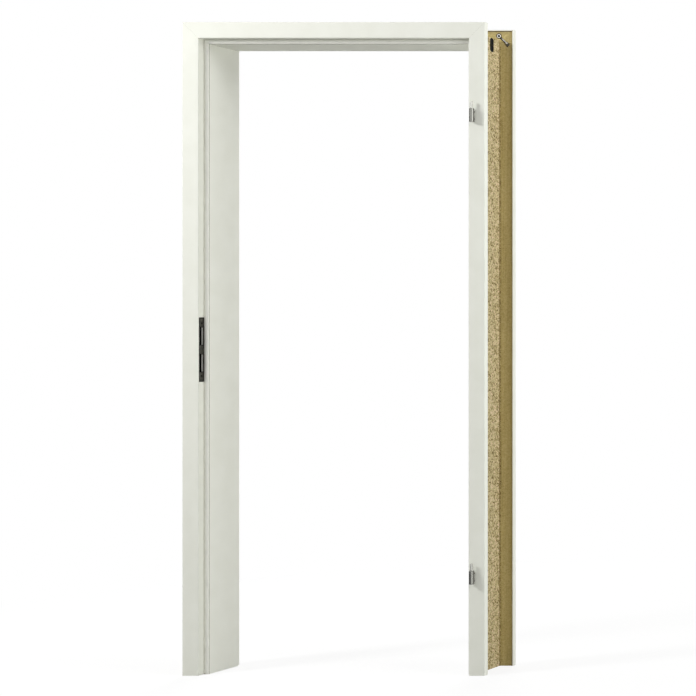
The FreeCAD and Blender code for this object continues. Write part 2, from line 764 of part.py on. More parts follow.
def seal_section():
    """The seal's outline as (across, depth) and the arc over its top, then its hollow."""
    inner, outer = seal_middle - d.seal_width / 2, seal_middle + d.seal_width / 2
    stem_in, stem_out = seal_middle - d.seal_stem / 2, seal_middle + d.seal_stem / 2
    foot = d.rebate_depth + d.seal_stem_long
    shoulder = d.rebate_depth - d.seal_side
    skin = [
        (inner, shoulder), (outer, shoulder), (outer, d.rebate_depth), (stem_out, d.rebate_depth),
        (stem_out, foot), (stem_in, foot), (stem_in, d.rebate_depth), (inner, d.rebate_depth),
    ]
    wall = d.seal_wall
    hollow = [
        (inner + wall, shoulder), (outer - wall, shoulder),
        (outer - wall, d.rebate_depth - wall), (inner + wall, d.rebate_depth - wall),
    ]
    return skin, hollow


def draw_seal(sketch, place):
    """Both loops of the seal. place turns (across, depth) into the sketch's own axes, and
    the loops run the way round that makes their first side bulge away from the groove."""
    for loop, radius in zip(seal_section(), (d.seal_radius, d.seal_radius - d.seal_wall)):
        corners = [place(across, depth) for across, depth in loop]
        area = signed_area(corners)
        if area < 0:
            corners = [corners[1], corners[0]] + corners[:1:-1]
        outline(sketch, corners, arcs={0: radius})


def signed_area(corners):
    points = [(as_size(x).number, as_size(y).number) for x, y in corners]
    following = points[1:] + points[:1]
    return sum(a[0] * b[1] - b[0] * a[1] for a, b in zip(points, following)) / 2


def seal_jamb(label, side):
    body = new_body(label)
    profile = sketch_on(body, "XY_Plane")
    draw_seal(profile, lambda across, depth: (across * side, depth))
    pad(body, profile, head_rise + rebate_side)
    cut_mitre(body, side, lining_in, rebate_side, "jamb")
    return body


def seal_head():
    body = new_body("seal_head")
    profile = sketch_on(body, "YZ_Plane")
    draw_seal(profile, lambda across, depth: (depth, head_rise + across))
    pad(body, profile, rebate_side * 2, "both")
    for side in (1, -1):
        cut_mitre(body, side, lining_in, rebate_side, "head")
    return body


# A receiver's block: distances across from the middle, and depths from the face.
# The clamp screws press on the studs halfway down it.
receiver_in = hinge_across - d.receiver_inner
receiver_out = hinge_across + d.receiver_outer
receiver_front = d.receiver_skin + d.receiver_gap
receiver_back = d.rebate_depth - d.receiver_gap
clamp_depth = (receiver_front + receiver_back) / 2
stud_heights = [d.stud_pitch / 2 * up for up in (1, -1)]


def cut_hinge_seats(body):
    """Pockets, stud holes and key holes for both hinges in the hinge side architrave."""
    for height in (upper_hinge, lower_hinge):
        seat = sketch_on(body, "XZ_Plane", at=(0, 0, -d.receiver_skin))
        half = d.receiver_high / 2 + d.receiver_gap
        rectangle(
            seat, receiver_in - d.receiver_gap, block_out + d.receiver_gap,
            height - half, height + half,
        )
        pocket(body, seat, d.rebate_depth - d.receiver_skin, "back")
        gap = sketch_on(body, "XZ_Plane", at=(0, 0, -d.rebate_depth))
        rectangle(gap, rebate_side, block_out, height - half, height + half)
        pocket(body, gap, d.front_tongue_long, "back")
        studs = sketch_on(body, "XZ_Plane")
        keys = sketch_on(body, "YZ_Plane", at=(0, 0, rebate_side))
        for offset in stud_heights:
            circle(studs, hinge_across, height + offset, d.stud_dia + d.stud_hole_gap * 2)
            circle(keys, clamp_depth, height + offset, d.clamp_key_hole)
        pocket(body, studs, d.receiver_skin, "back")
        pocket(body, keys, receiver_in - rebate_side, "ahead")


def hinge_receiver(label, height):
    """The receiver: a block with two bores for the studs, and a flange on the lining's back."""
    body = new_body(label, height)
    flange_out = lining_out + d.flange_thick
    plan = sketch_on(body, "XY_Plane")
    outline(plan, [
        (receiver_in, receiver_front), (receiver_out, receiver_front),
        (receiver_out, receiver_back), (flange_out, receiver_back),
        (flange_out, d.flange_end), (lining_out, d.flange_end),
        (lining_out, receiver_back), (receiver_in, receiver_back),
    ])
    pad(body, plan, d.receiver_high, "both")
    tips = [(lining_out + d.flange_thick / 2, d.flange_end, d.receiver_high / 2 * up)
            for up in (1, -1)]
    soften(body, "PartDesign::Fillet", d.flange_round, tips)
    bores = sketch_on(body, "XZ_Plane", at=(0, 0, -receiver_front))
    threads = sketch_on(body, "YZ_Plane", at=(0, 0, receiver_in))
    for offset in stud_heights:
        circle(bores, hinge_across, offset, d.stud_dia + d.hinge_fit * 2)
        circle(threads, clamp_depth, offset, d.clamp_screw_dia + d.glue_gap)
    pocket(body, bores, d.rebate_depth, "back")
    pocket(body, threads, d.receiver_inner, "ahead")
    holes = sketch_on(body, "YZ_Plane", at=(0, 0, flange_out))
    spots = receiver_screw_spots(ZERO)
    for depth, level in spots:
        circle(holes, depth, level, flange_screw_hole)
    pocket(body, holes, d.flange_thick, "back")
    rims = [(flange_out, depth, level + flange_screw_hole / 2) for depth, level in spots]
    soften(body, "PartDesign::Chamfer", d.flange_sink, rims)
    return body


def hinge_knuckle(label, height):
    """A turned knuckle with a bore for the pin and two seats for the studs."""
    body = new_body(label, height)
    barrel = sketch_on(body, "XY_Plane")
    circle(barrel, hinge_across, -d.hinge_stand, d.knuckle_dia)
    pad(body, barrel, d.knuckle_long, "both")
    rims = [(hinge_across, -(d.hinge_stand + d.knuckle_dia / 2), d.knuckle_long / 2 * up)
            for up in (1, -1)]
    soften(body, "PartDesign::Chamfer", d.knuckle_edge, rims)
    bore = sketch_on(body, "XY_Plane", at=(0, 0, d.knuckle_long / 2))
    circle(bore, hinge_across, -d.hinge_stand, d.pin_root_dia + d.hinge_fit * 2)
    pocket(body, bore, d.pin_root_long + d.tongue_end_gap, "back")
    seats = sketch_on(body, "XZ_Plane")
    for offset in stud_heights:
        circle(seats, hinge_across, offset, d.stud_dia + d.hinge_fit * 2)
    pocket(body, seats, d.stud_seat + d.glue_gap, "ahead")
    return body


def hinge_studs(label, height):
    """Two studs from the knuckle through the face into the receiver."""
    body = new_body(label, height)
    ends = sketch_on(body, "XZ_Plane", at=(0, 0, d.stud_seat))
    for offset in stud_heights:
        circle(ends, hinge_across, offset, d.stud_dia)
    pad(body, ends, d.stud_seat + d.stud_long, "back")
    rims = [(hinge_across, d.stud_long, offset + d.stud_dia / 2) for offset in stud_heights]
    soften(body, "PartDesign::Chamfer", d.knuckle_edge, rims)
    return body


def hinge_pin(label, height):
    """The pin: a slim root in the knuckle, and a thicker free end for the leaf's half."""
    body = doc.addObject("PartDesign::Body", label)
    body.Label = label
    for axis, value in (("x", hinge_across), ("y", front_y - d.hinge_stand),
                        ("z", height + d.knuckle_long / 2)):
        body.setExpression(f"Placement.Base.{axis}", value.text)
    root, free = d.pin_root_dia / 2, d.pin_dia / 2
    turned(body, [
        (ZERO, -d.pin_root_long), (root, -d.pin_root_long), (root, ZERO), (free, ZERO),
        (free, d.pin_free - d.pin_nose), (free - d.pin_nose, d.pin_free), (ZERO, d.pin_free),
    ])
    return body


def countersunk_screw(label, diameter, length, sink):
    """A wood screw along Z, its head's top at the origin and its tip down. Its head
    fills a hole's countersink."""
    body = pattern_body(label)
    radius = diameter / 2
    rim = radius + sink
    turned(body, [
        (ZERO, -length), (radius - d.screw_point, -length), (radius, d.screw_point - length),
        (radius, -sink), (rim, ZERO), (ZERO, ZERO),
    ])
    cross = sketch_on(body, "XY_Plane")
    arm, half = rim * RECESS_REACH, rim * RECESS_HALF_WIDTH
    outline(cross, [
        (half, -half), (arm, -half), (arm, half), (half, half), (half, arm), (-half, arm),
        (-half, half), (-arm, half), (-arm, -half), (-half, -half), (-half, -arm), (half, -arm),
    ])
    pocket(body, cross, radius, "back")
    return body


def clamp_screw(label):
    """A grub screw along Z with a key socket in its outer end."""
    body = pattern_body(label)
    end = sketch_on(body, "XY_Plane")
    circle(end, 0, 0, d.clamp_screw_dia)
    length = d.receiver_inner - d.stud_dia / 2 - d.glue_gap * 2
    pad(body, end, length, "back")
    socket = sketch_on(body, "XY_Plane")
    hexagon(socket, ZERO, ZERO, d.clamp_key)
    pocket(body, socket, d.clamp_key_deep, "back")
    return body


def corner_connector(label):
    """A plastic connector, its long outline in the XY plane and its face at Z = 0."""
    body = pattern_body(label)
    face = sketch_on(body, "XY_Plane")
    connector_outline(face, ZERO, ZERO, ZERO)
    pad(body, face, d.connector_deep - d.glue_gap, "back")
    recess = sketch_on(body, "XY_Plane")
    connector_outline(recess, ZERO, ZERO, -d.connector_rim)
    circle(recess, 0, 0, d.connector_boss)
    pocket(body, recess, d.connector_recess, "back")
    hole = sketch_on(body, "XY_Plane")
    circle(hole, 0, 0, connector_screw_hole)
    pocket(body, hole, d.connector_deep, "back")
    rim = [(0, connector_screw_hole / 2, 0)]
    soften(body, "PartDesign::Chamfer", d.connector_sink, rim)
    return body


def mitre_biscuit(label):
    """A flat lens of compressed wood, its length along X and its thickness along Y."""
    body = pattern_body(label)
    lens = sketch_on(body, "XZ_Plane")
    biscuit_outline(lens, ZERO)
    pad(body, lens, d.biscuit_thick, "both")
    return body


# The rear mitre connectors: a cam in the head piece pulls on a bolt held in the jamb piece.
mitre_across = rear_in + d.mitre_middle
mitre_shift = d.mitre_reach / ROOT_2
relief_floor_depth = rear_wall_side + d.relief_deep
bolt_depth = relief_floor_depth + d.mitre_pocket_deep / 2
cam_face_depth = relief_floor_depth + d.glue_gap
head_seat = d.mitre_reach - d.mitre_head_dia / 2


def cut_mitre_connector(body, side, piece):
    """The round pocket, or the head's pocket, and the bolt's slot, from the wall side."""
    pocket_to = relief_floor_depth + d.mitre_pocket_deep - rear_wall_side
    frame = {
        "body": body, "role": "XZ_Plane", "turn": -45 * side,
        "at": (mitre_across * side, head_rise + mitre_across, -rear_wall_side),
    }
    slot = sketch_on(**frame)
    toward = -side if piece == "head" else side
    half = d.mitre_channel / 2
    rectangle(slot, ZERO, d.mitre_reach * toward, -half, half)
    slot_to = bolt_depth + d.mitre_bolt_dia / 2 + d.glue_gap - rear_wall_side
    pocket(body, slot, slot_to, "back")
    seat = sketch_on(**frame)
    if piece == "head":
        circle(seat, d.mitre_reach * toward, 0, d.cam_dia + d.glue_gap * 2)
    else:
        wide = d.mitre_head_dia / 2 + d.glue_gap
        rectangle(
            seat, (head_seat - d.glue_gap) * toward, (d.mitre_reach + wide) * toward, -wide, wide,
        )
    pocket(body, seat, pocket_to, "back")


def rear_architrave(label, side):
    edges = [(rear_in, frame_back), (rear_out, frame_back)]
    section = rear_architrave_section()
    if side:
        body = mitred_jamb(label, side, section, rear_in, rear_out, edges)
        cut_mitre_connector(body, side, "jamb")
    else:
        body = mitred_head(label, section, rear_in, rear_out, edges)
        for end in (1, -1):
            cut_mitre_connector(body, end, "head")
    return body


def mitre_cam(label):
    """A round cam along Z: key socket in the top, and a bore along X for the bolt's tip."""
    body = pattern_body(label)
    top = sketch_on(body, "XY_Plane")
    circle(top, 0, 0, d.cam_dia)
    pad(body, top, d.cam_high, "back")
    key = sketch_on(body, "XY_Plane")
    hexagon(key, ZERO, ZERO, d.cam_key)
    pocket(body, key, d.cam_key_deep, "back")
    bore = sketch_on(body, "YZ_Plane")
    circle(bore, 0, cam_face_depth - bolt_depth, d.cam_bore)
    pocket(body, bore, d.cam_dia, "ahead")
    return body


def mitre_bolt(label):
    """The bolt along Z: its head's seat at the origin, its knob up inside the cam. The
    knob, the neck below it and the knob's bevel are each one shank radius long."""
    body = pattern_body(label)
    tip = head_seat + d.mitre_reach
    shank, neck = d.mitre_bolt_dia / 2, d.mitre_bolt_dia / 3
    bevel, knob, below = tip - shank, tip - shank * 2, tip - shank * 3
    turned(body, [
        (ZERO, -d.mitre_head_thick), (d.mitre_head_dia / 2, -d.mitre_head_thick),
        (d.mitre_head_dia / 2, ZERO), (shank, ZERO), (shank, below),
        (neck, below), (neck, knob), (shank, knob), (shank, bevel), (neck, tip), (ZERO, tip),
    ])
    return body


def bolt_places():
    """Each bolt's head seats in a jamb piece, and its tip points at the head piece."""
    places = []
    for side in (-1, 1):
        offset = head_seat / ROOT_2
        tip = Vector(-side, 0, 1)
        places.append((
            (mitre_across + offset) * side, front_y + bolt_depth,
            head_rise + mitre_across - offset, Rotation(Vector(0, 0, 1), tip),
        ))
    return places


def cam_places():
    """Each cam faces the wall, its bore towards the bolt."""
    places = []
    for side in (-1, 1):
        along, face = Vector(side, 0, -1), Vector(0, -1, 0)
        places.append((
            (mitre_across - mitre_shift) * side, front_y + cam_face_depth,
            head_rise + mitre_across + mitre_shift, Rotation(along, face.cross(along), face, "XZY"),
        ))
    return places


def both_sides(x, y, z):
    """Places on both jambs, with Z of the piece turned outwards."""
    return [(x * side, y, z, TO_PLUS_X if side > 0 else TO_MINUS_X) for side in (-1, 1)]


lining_hinge_side = lining_jamb("lining_hinge_side", 1)
drill_receiver_screws(lining_hinge_side)
rebate_architrave_lock_side = rebate_architrave("rebate_architrave_lock_side", -1)
cut_strike_seat(rebate_architrave_lock_side)
rebate_architrave_hinge_side = rebate_architrave("rebate_architrave_hinge_side", 1)
cut_hinge_seats(rebate_architrave_hinge_side)

nodes = [
    lining_jamb("lining_lock_side", -1),
    lining_hinge_side,
    lining_head(),
    rebate_architrave_lock_side,
    rebate_architrave_hinge_side,
    rebate_architrave("rebate_architrave_head", 0),
    seal_jamb("seal_lock_side", -1),
    seal_jamb("seal_hinge_side", 1),
    seal_head(),
    strike_plate(),
    strike_box(),
    rear_architrave("rear_architrave_lock_side", -1),
    rear_architrave("rear_architrave_hinge_side", 1),
    rear_architrave("rear_architrave_head", 0),
]

strike_screw = countersunk_screw(
    "strike_screw_pattern", d.strike_screw_dia, d.strike_screw_long, d.strike_sink)
flange_screw = countersunk_screw(
    "flange_screw_pattern", d.flange_screw_dia, d.flange_screw_long, d.flange_sink)
connector_screw = countersunk_screw(
    "connector_screw_pattern", d.connector_screw_dia, d.connector_screw_long, d.connector_sink)
clamp_pattern = clamp_screw("clamp_screw_pattern")
connector_pattern = corner_connector("corner_connector_pattern")
biscuit_pattern = mitre_biscuit("mitre_biscuit_pattern")
cam_pattern = mitre_cam("mitre_cam_pattern")
bolt_pattern = mitre_bolt("mitre_bolt_pattern")

nodes.append(set_of("strike_plate_screws", strike_screw, [
    (-rebate_side, front_y + strike_middle, level, TO_PLUS_X) for level in strike_screw_heights
]))
for name, height in (("upper_hinge", upper_hinge), ("lower_hinge", lower_hinge)):
    nodes.append(hinge_knuckle(f"{name}_knuckle", height))
    nodes.append(hinge_studs(f"{name}_studs", height))
    nodes.append(hinge_pin(f"{name}_pin", height))
    nodes.append(hinge_receiver(f"{name}_receiver", height))
    nodes.append(set_of(f"{name}_clamp_screws", clamp_pattern, [
        (receiver_in, front_y + clamp_depth, height + offset, TO_MINUS_X)
        for offset in stud_heights
    ]))
    nodes.append(set_of(f"{name}_receiver_screws", flange_screw, [
        (lining_out + d.flange_thick, front_y + depth, level, TO_PLUS_X)
        for depth, level in receiver_screw_spots(height)
    ]))
nodes.append(set_of("corner_connectors", connector_pattern, [
    place for depth in connector_depths
    for place in both_sides(lining_out, front_y + depth, connector_height)
]))
nodes.append(set_of("corner_connector_screws", connector_screw, [
    place for depth in connector_depths
    for place in both_sides(lining_out, front_y + depth, connector_height)
]))
nodes.append(set_of("mitre_biscuits", biscuit_pattern, [
    (biscuit_across * side, front_y + d.board_thick / 2, head_rise + biscuit_across,
     Rotation(Vector(0, 1, 0), -45 * side))
    for side in (-1, 1)
]))
nodes.append(set_of("mitre_cams", cam_pattern, cam_places()))
nodes.append(set_of("mitre_bolts", bolt_pattern, bolt_places()))

doc.recompute()

for item in doc.Objects:
    if "Invalid" in item.State or "Error" in item.State:
        raise RuntimeError(f"{item.Name} did not compute: {item.State}")

os.makedirs("parts", exist_ok=True)
for node in nodes:
    shape = node.Shape
    if shape.isNull() or not shape.isValid() or not shape.Solids:
        raise RuntimeError(f"{node.Label} has no valid solid")
    shape.exportStep(f"parts/{node.Label}.step")
    box = shape.BoundBox
    print(
        f"{node.Label}: {len(shape.Solids)} solids, {shape.Volume / 1000:.1f} cm3, "
        f"X {box.XMin:.1f}..{box.XMax:.1f}, Y {box.YMin:.1f}..{box.YMax:.1f}, "
        f"Z {box.ZMin:.1f}..{box.ZMax:.1f}"
    )
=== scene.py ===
import math

import bmesh
import bpy
from mathutils import Matrix, Vector


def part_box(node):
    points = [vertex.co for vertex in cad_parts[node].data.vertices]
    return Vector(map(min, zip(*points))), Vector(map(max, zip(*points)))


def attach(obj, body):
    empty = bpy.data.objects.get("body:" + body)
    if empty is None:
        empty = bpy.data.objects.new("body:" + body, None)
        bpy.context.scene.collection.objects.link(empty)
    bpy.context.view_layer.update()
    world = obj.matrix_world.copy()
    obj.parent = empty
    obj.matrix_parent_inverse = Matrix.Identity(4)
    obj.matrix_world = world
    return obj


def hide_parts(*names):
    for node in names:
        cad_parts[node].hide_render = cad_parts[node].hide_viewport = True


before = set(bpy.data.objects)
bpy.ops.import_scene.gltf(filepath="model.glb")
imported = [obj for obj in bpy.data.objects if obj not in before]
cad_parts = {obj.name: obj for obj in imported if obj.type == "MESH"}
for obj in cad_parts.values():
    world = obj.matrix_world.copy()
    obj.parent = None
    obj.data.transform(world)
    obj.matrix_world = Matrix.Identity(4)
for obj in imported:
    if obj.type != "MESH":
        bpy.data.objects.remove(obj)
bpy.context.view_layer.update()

# A white timber door frame on a plain floor. The rebated face looks along -Y,
# +X is the hinge side and Z = 0 is the floor. Lengths are metres unless a name says mm.

MM = 0.001
scene = bpy.context.scene

# Lines of the frame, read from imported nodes. The boards are those of the hinge side.
lining_low, lining_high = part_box("lining_hinge_side")
face_low, face_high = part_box("rebate_architrave_hinge_side")
rear_low, rear_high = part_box("rear_architrave_hinge_side")
plate_low, plate_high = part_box("strike_plate")
cam_low, cam_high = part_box("mitre_cams")
seal_low, seal_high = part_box("seal_hinge_side")
PASSAGE_SIDE = lining_low.x
PASSAGE_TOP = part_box("lining_head")[0].z
HEAD_RISE = PASSAGE_TOP - PASSAGE_SIDE  # a head line lies this much above the jamb line beside it
LINING_BACK = lining_high.x
STEP_DEPTH = lining_low.y  # the milled step that the seal sits on
REBATE_SIDE = face_low.x
FACE_OUT = face_high.x
REAR_OUT = rear_high.x
REAR_BACK = rear_high.y
JOINT_DEPTH = lining_high.y  # where the lining's end meets the rear architrave
REAR_RIM = 3.5 * MM  # the rear architrave's rim outside its relief
REAR_INNER_EDGE = 12 * MM  # from its passage edge to the raw face beside its tongue
REAR_TONGUE = 24 * MM  # how far its tongue stands out
REAR_RELIEF = 1.8 * MM  # how deep its relief is
RELIEF_FLOOR = rear_low.y + REAR_TONGUE + REAR_RELIEF
EDGE_ROUND = 2 * MM  # rounding of the architraves' edges
CAM_RADIUS = (cam_high.z - cam_low.z) / 2

# Widths of marks on the boards.
MITRE_LINE = 0.3 * MM  # a tight mitre's gap, a little wide so that it shows
GROOVE_SHADE_WIDTH = 1.5 * MM  # how far painted shade in the groove behind a seal reaches on a lining, also a little wide
GLUE_AND_RIM_SHADOW_WIDTH = 3 * MM  # how far glue shows from a lining's joint, and how far the painted shadow under the rear head's rim reaches
GLUE_LINE = (LINING_BACK - 1 * MM, LINING_BACK + 3.5 * MM)  # across a rear board
BORE_SHADE_WIDTH = 1.5 * MM  # how far painted shade reaches around the cam, in the mouth of its bore
BOLT_DROP = 100 * MM  # the bolts' pockets are less than this below the cams

# Reach of the masks.
FACES = 0.5  # a normal's part along an axis from which a face counts as looking that way
PAST = 9.0  # beyond any length or normal here
SLACK = 0.5 * MM  # how far a mask goes past the edge that it follows
RIM_SLACK = 0.2 * MM  # the same at the rear architrave's fine rims

WRAP_WHITES = ("F1F2E8", "F5F6ED")
# Painted shade: a grey line in the groove behind a seal, and the greyer rebate edge of an upright.
GROOVE_SHADE = "ACABA0"
REBATE_EDGE_SHADE = "E9EAE0"
GLUE_STAIN = "776338"


def linear(hex_colour):
    """Linear RGBA of an sRGB hex colour such as "F2F2EA"."""
    channels = [int(hex_colour[start:start + 2], 16) / 255 for start in (0, 2, 4)]
    toned = [c / 12.92 if c <= 0.04045 else ((c + 0.055) / 1.055) ** 2.4 for c in channels]
    return (*toned, 1.0)


def per_metre(mm):
    """A texture's scale that makes its cells this many millimetres wide."""
    return 1000 / mm


def feed(tree, node, inputs):
    """Give a node's inputs what they need: a socket is linked, anything else is a value."""
    for name, value in inputs.items():
        if isinstance(value, bpy.types.NodeSocket):
            tree.links.new(value, node.inputs[name])
        else:
            node.inputs[name].default_value = value


def add(tree, kind, inputs=None, stops=(), **settings):
    """Add a node. inputs are sockets and values, settings are its properties, and stops are
    a colour ramp's positions and sRGB hex colours."""
    node = tree.nodes.new(kind)
    for name, value in settings.items():
        setattr(node, name, value)
    feed(tree, node, inputs or {})
    if stops:
        elements = node.color_ramp.elements
        while len(elements) < len(stops):
            elements.new(0.5)
        for element, (position, colour) in zip(elements, stops):
            element.position = position
            element.color = linear(colour)
    return node


def bare_tree(owner):
    """The emptied node tree of a material or a world."""
    owner.use_nodes = True
    owner.node_tree.nodes.clear()
    return owner.node_tree


def new_material(name):
    """A material with one Principled surface. Returns it, its tree, the surface and the
    Texture Coordinate node."""
    material = bpy.data.materials.new(name)
    tree = bare_tree(material)
    surface = add(tree, "ShaderNodeBsdfPrincipled")
    add(tree, "ShaderNodeOutputMaterial", {"Surface": surface.outputs["BSDF"]})
    return material, tree, surface, add(tree, "ShaderNodeTexCoord")


def painted(tree, colour, *coats):
    """A colour with coats over it. Each coat is a mask and a socket or an sRGB hex colour."""
    for mask, coat in coats:
        if isinstance(coat, str):
            coat = linear(coat)
        over = add(tree, "ShaderNodeMix", {0: mask, 6: colour, 7: coat}, data_type="RGBA")
        colour = over.outputs[2]
    return colour


def between(tree, value, low, high):
    """1 where the value lies between two numbers, else 0."""
    above = add(tree, "ShaderNodeMath", {0: value, 1: low}, operation="GREATER_THAN")
    below = add(tree, "ShaderNodeMath", {0: value, 1: high}, operation="LESS_THAN")
    return both(tree, above.outputs[0], below.outputs[0])


def either(tree, *masks):
    """The highest of several masks."""
    highest = masks[0]
    for mask in masks[1:]:
        highest = add(tree, "ShaderNodeMath", {0: highest, 1: mask}, operation="MAXIMUM").outputs[0]
    return highest


def both(tree, *masks):
    """The lowest of several masks."""
    lowest = masks[0]
    for mask in masks[1:]:
        lowest = add(tree, "ShaderNodeMath", {0: lowest, 1: mask}, operation="MINIMUM").outputs[0]
    return lowest


def board_axes(tree, coordinates, is_head):
    """Where a point lies across its board's section and which way its face looks:
    across, depth, and the normal along across, depth and the board's own length."""
    place = add(tree, "ShaderNodeSeparateXYZ", {0: coordinates.outputs["Object"]})
    facing = add(tree, "ShaderNodeSeparateXYZ", {0: coordinates.outputs["Normal"]})
    if is_head:
        across = add(
            tree, "ShaderNodeMath", {0: place.outputs["Z"], 1: HEAD_RISE}, operation="SUBTRACT",
        )
        return (across.outputs[0], place.outputs["Y"], facing.outputs["Z"],
                facing.outputs["Y"], facing.outputs["X"])
    across = add(tree, "ShaderNodeMath", {0: place.outputs["X"]}, operation="ABSOLUTE")
    side = add(tree, "ShaderNodeMath", {0: place.outputs["X"]}, operation="SIGN")
    outward = add(
        tree, "ShaderNodeMath", {0: facing.outputs["X"], 1: side.outputs[0]}, operation="MULTIPLY",
    )
    return (across.outputs[0], place.outputs["Y"], outward.outputs[0],
            facing.outputs["Y"], facing.outputs["Z"])


def raw_lining(tree, axes):
    """A lining is bare on its back and on its sawn ends."""
    _, _, outward, _, along = axes
    return either(
        tree, between(tree, outward, FACES, PAST), between(tree, along, FACES, PAST),
        between(tree, along, -PAST, -FACES),
    )


def raw_rebate_architrave(tree, axes):
    """Bare on the wall side, inside its section and on its sawn ends."""
    across, _, _, rearward, along = axes
    inside = between(tree, across, REBATE_SIDE + SLACK, FACE_OUT - EDGE_ROUND * 1.2)
    sideways = add(tree, "ShaderNodeMath", {0: rearward}, operation="ABSOLUTE")
    return either(
        tree, between(tree, rearward, FACES, PAST), between(tree, along, -PAST, -FACES),
        both(tree, inside, between(tree, sideways.outputs[0], -FACES, FACES)),
    )


def raw_rear_architrave(tree, axes):
    """Bare in its relief and on its tongue; its rims are wrapped."""
    across, depth, _, _, along = axes
    inside = between(
        tree, across, PASSAGE_SIDE + REAR_INNER_EDGE - RIM_SLACK, REAR_OUT - REAR_RIM + RIM_SLACK,
    )
    return either(
        tree, both(tree, inside, between(tree, depth, -PAST, REAR_BACK - EDGE_ROUND)),
        between(tree, along, -PAST, -FACES),
    )


def flaked(tree, coordinates, axes):
    """Raw chipboard of the lining, sawn and sanded: flakes of several tones, a few dark
    with bark and a few pinkish. Real flakes are 1 to 5 mm long and are drawn at the coarse
    end of that, so that they show. Returns colour and height."""
    _, depth, _, _, _ = axes
    waver = add(
        tree, "ShaderNodeTexNoise",
        {"Vector": coordinates.outputs["Object"], "Scale": per_metre(9), "Detail": 2.0},
    )
    bent = add(
        tree, "ShaderNodeVectorMath",
        {0: waver.outputs["Color"], 1: (9 * MM,) * 3, 2: coordinates.outputs["Object"]},
        operation="MULTIPLY_ADD",
    )
    flakes, chips = [
        add(
            tree, "ShaderNodeTexVoronoi",
            {"Vector": bent.outputs[0], "Scale": per_metre(width), "Randomness": 1.0},
        ).outputs["Color"]
        for width in (5, 2.2)
    ]
    tone = add(tree, "ShaderNodeSeparateColor", {0: painted(tree, flakes, (0.5, chips))})
    colour = add(tree, "ShaderNodeValToRGB", {"Fac": tone.outputs["Red"]}, [
        (0.15, "64532E"), (0.3, "968558"), (0.43, "B1A375"), (0.57, "C3B488"), (0.72, "D6CAA3"),
        (0.87, "D9BEA1"),
    ])
    patchy = add(tree, "ShaderNodeMapRange", {
        "Value": waver.outputs[0], "From Min": 0.35, "From Max": 0.6, "To Min": 0.15, "To Max": 0.85,
    })
    glued = both(tree, between(tree, depth, JOINT_DEPTH - GLUE_AND_RIM_SHADOW_WIDTH, PAST), patchy.outputs[0])
    return painted(tree, colour.outputs["Color"], (glued, GLUE_STAIN)), tone.outputs["Green"]


def from_cam(tree, coordinates):
    """How far a point is from the axis of the cam on its side."""
    place = add(tree, "ShaderNodeSeparateXYZ", {0: coordinates.outputs["Object"]})
    sideways = add(tree, "ShaderNodeMath", {0: place.outputs["X"]}, operation="ABSOLUTE")
    spot = add(tree, "ShaderNodeCombineXYZ", {"X": sideways.outputs[0], "Z": place.outputs["Z"]})
    axis = (cam_high.x - CAM_RADIUS, 0.0, cam_high.z - CAM_RADIUS)
    away = add(tree, "ShaderNodeVectorMath", {0: spot.outputs[0], 1: axis}, operation="DISTANCE")
    return away.outputs["Value"]


def fibred(tree, coordinates, axes, is_head):
    """Raw inside of the rear architrave: a finer and darker board, planed, so that faint
    streaks run along it. Painted shade darkens it towards its rim, and it darkens along the
    glue line. Painted shade darkens the mouth of the cam's bore, and the bolt's pocket is
    nearly black inside, painted shade over dark end grain. The head's board is painted
    paler, as light that reaches over the head, and has a painted shadow as a dark line under
    its rim. Returns colour and height."""
    across, depth, _, _, _ = axes
    drawn = 0.03  # squeezes the noise along the board, so that it comes out as streaks
    stretched = add(tree, "ShaderNodeMapping", {
        "Vector": coordinates.outputs["Object"],
        "Scale": (drawn, 1.0, 1.0) if is_head else (1.0, 1.0, drawn),
    })
    streaks = add(tree, "ShaderNodeTexNoise", {
        "Vector": stretched.outputs[0], "Scale": per_metre(5), "Detail": 3.0, "Roughness": 0.6,
    })
    grains = add(
        tree, "ShaderNodeTexVoronoi",
        {"Vector": coordinates.outputs["Object"], "Scale": per_metre(3), "Randomness": 1.0},
    )
    grain = add(tree, "ShaderNodeSeparateColor", {0: grains.outputs["Color"]})
    tone = add(
        tree, "ShaderNodeMix", {0: 0.3, 2: streaks.outputs[0], 3: grain.outputs["Red"]},
    ).outputs[0]
    # Painted light: the head's tones are paler, as light reaches over the head onto it.
    tones = ("AF9D64", "CDBD80", "DED096") if is_head else ("A3915B", "BFAE75", "CFC08A")
    colour = add(tree, "ShaderNodeValToRGB", {"Fac": tone}, list(zip((0.2, 0.45, 0.7), tones)))
    # Painted shade, darker towards the rim.
    shade_towards_rim = add(tree, "ShaderNodeMapRange", {
        "Value": across, "From Min": LINING_BACK + 10 * MM, "From Max": REAR_OUT,
        "To Min": 0.0, "To Max": 0.5,
    })
    glue = both(tree, between(tree, across, *GLUE_LINE), grain.outputs["Green"])
    coats = [(shade_towards_rim.outputs[0], "947F4A"), (glue, GLUE_STAIN)]
    # Painted shadow: a dark line under the head's rim.
    if is_head:
        coats.append((between(tree, across, REAR_OUT - REAR_RIM - GLUE_AND_RIM_SHADOW_WIDTH, PAST), "6B5A30"))
    # Painted shade in the mouth of the cam's bore.
    bore_shade = between(tree, from_cam(tree, coordinates), -PAST, CAM_RADIUS + BORE_SHADE_WIDTH)
    place = add(tree, "ShaderNodeSeparateXYZ", {0: coordinates.outputs["Object"]})
    # The bolt's pocket: painted shade over dark end grain.
    pocket_shade_and_end_grain = both(
        tree, between(tree, depth, RELIEF_FLOOR + SLACK, PAST),
        between(tree, place.outputs["Z"], cam_low.z - BOLT_DROP, PAST),
    )
    coats += [(bore_shade, "4E4024"), (pocket_shade_and_end_grain, "3A3020")]
    return painted(tree, colour.outputs["Color"], *coats), tone


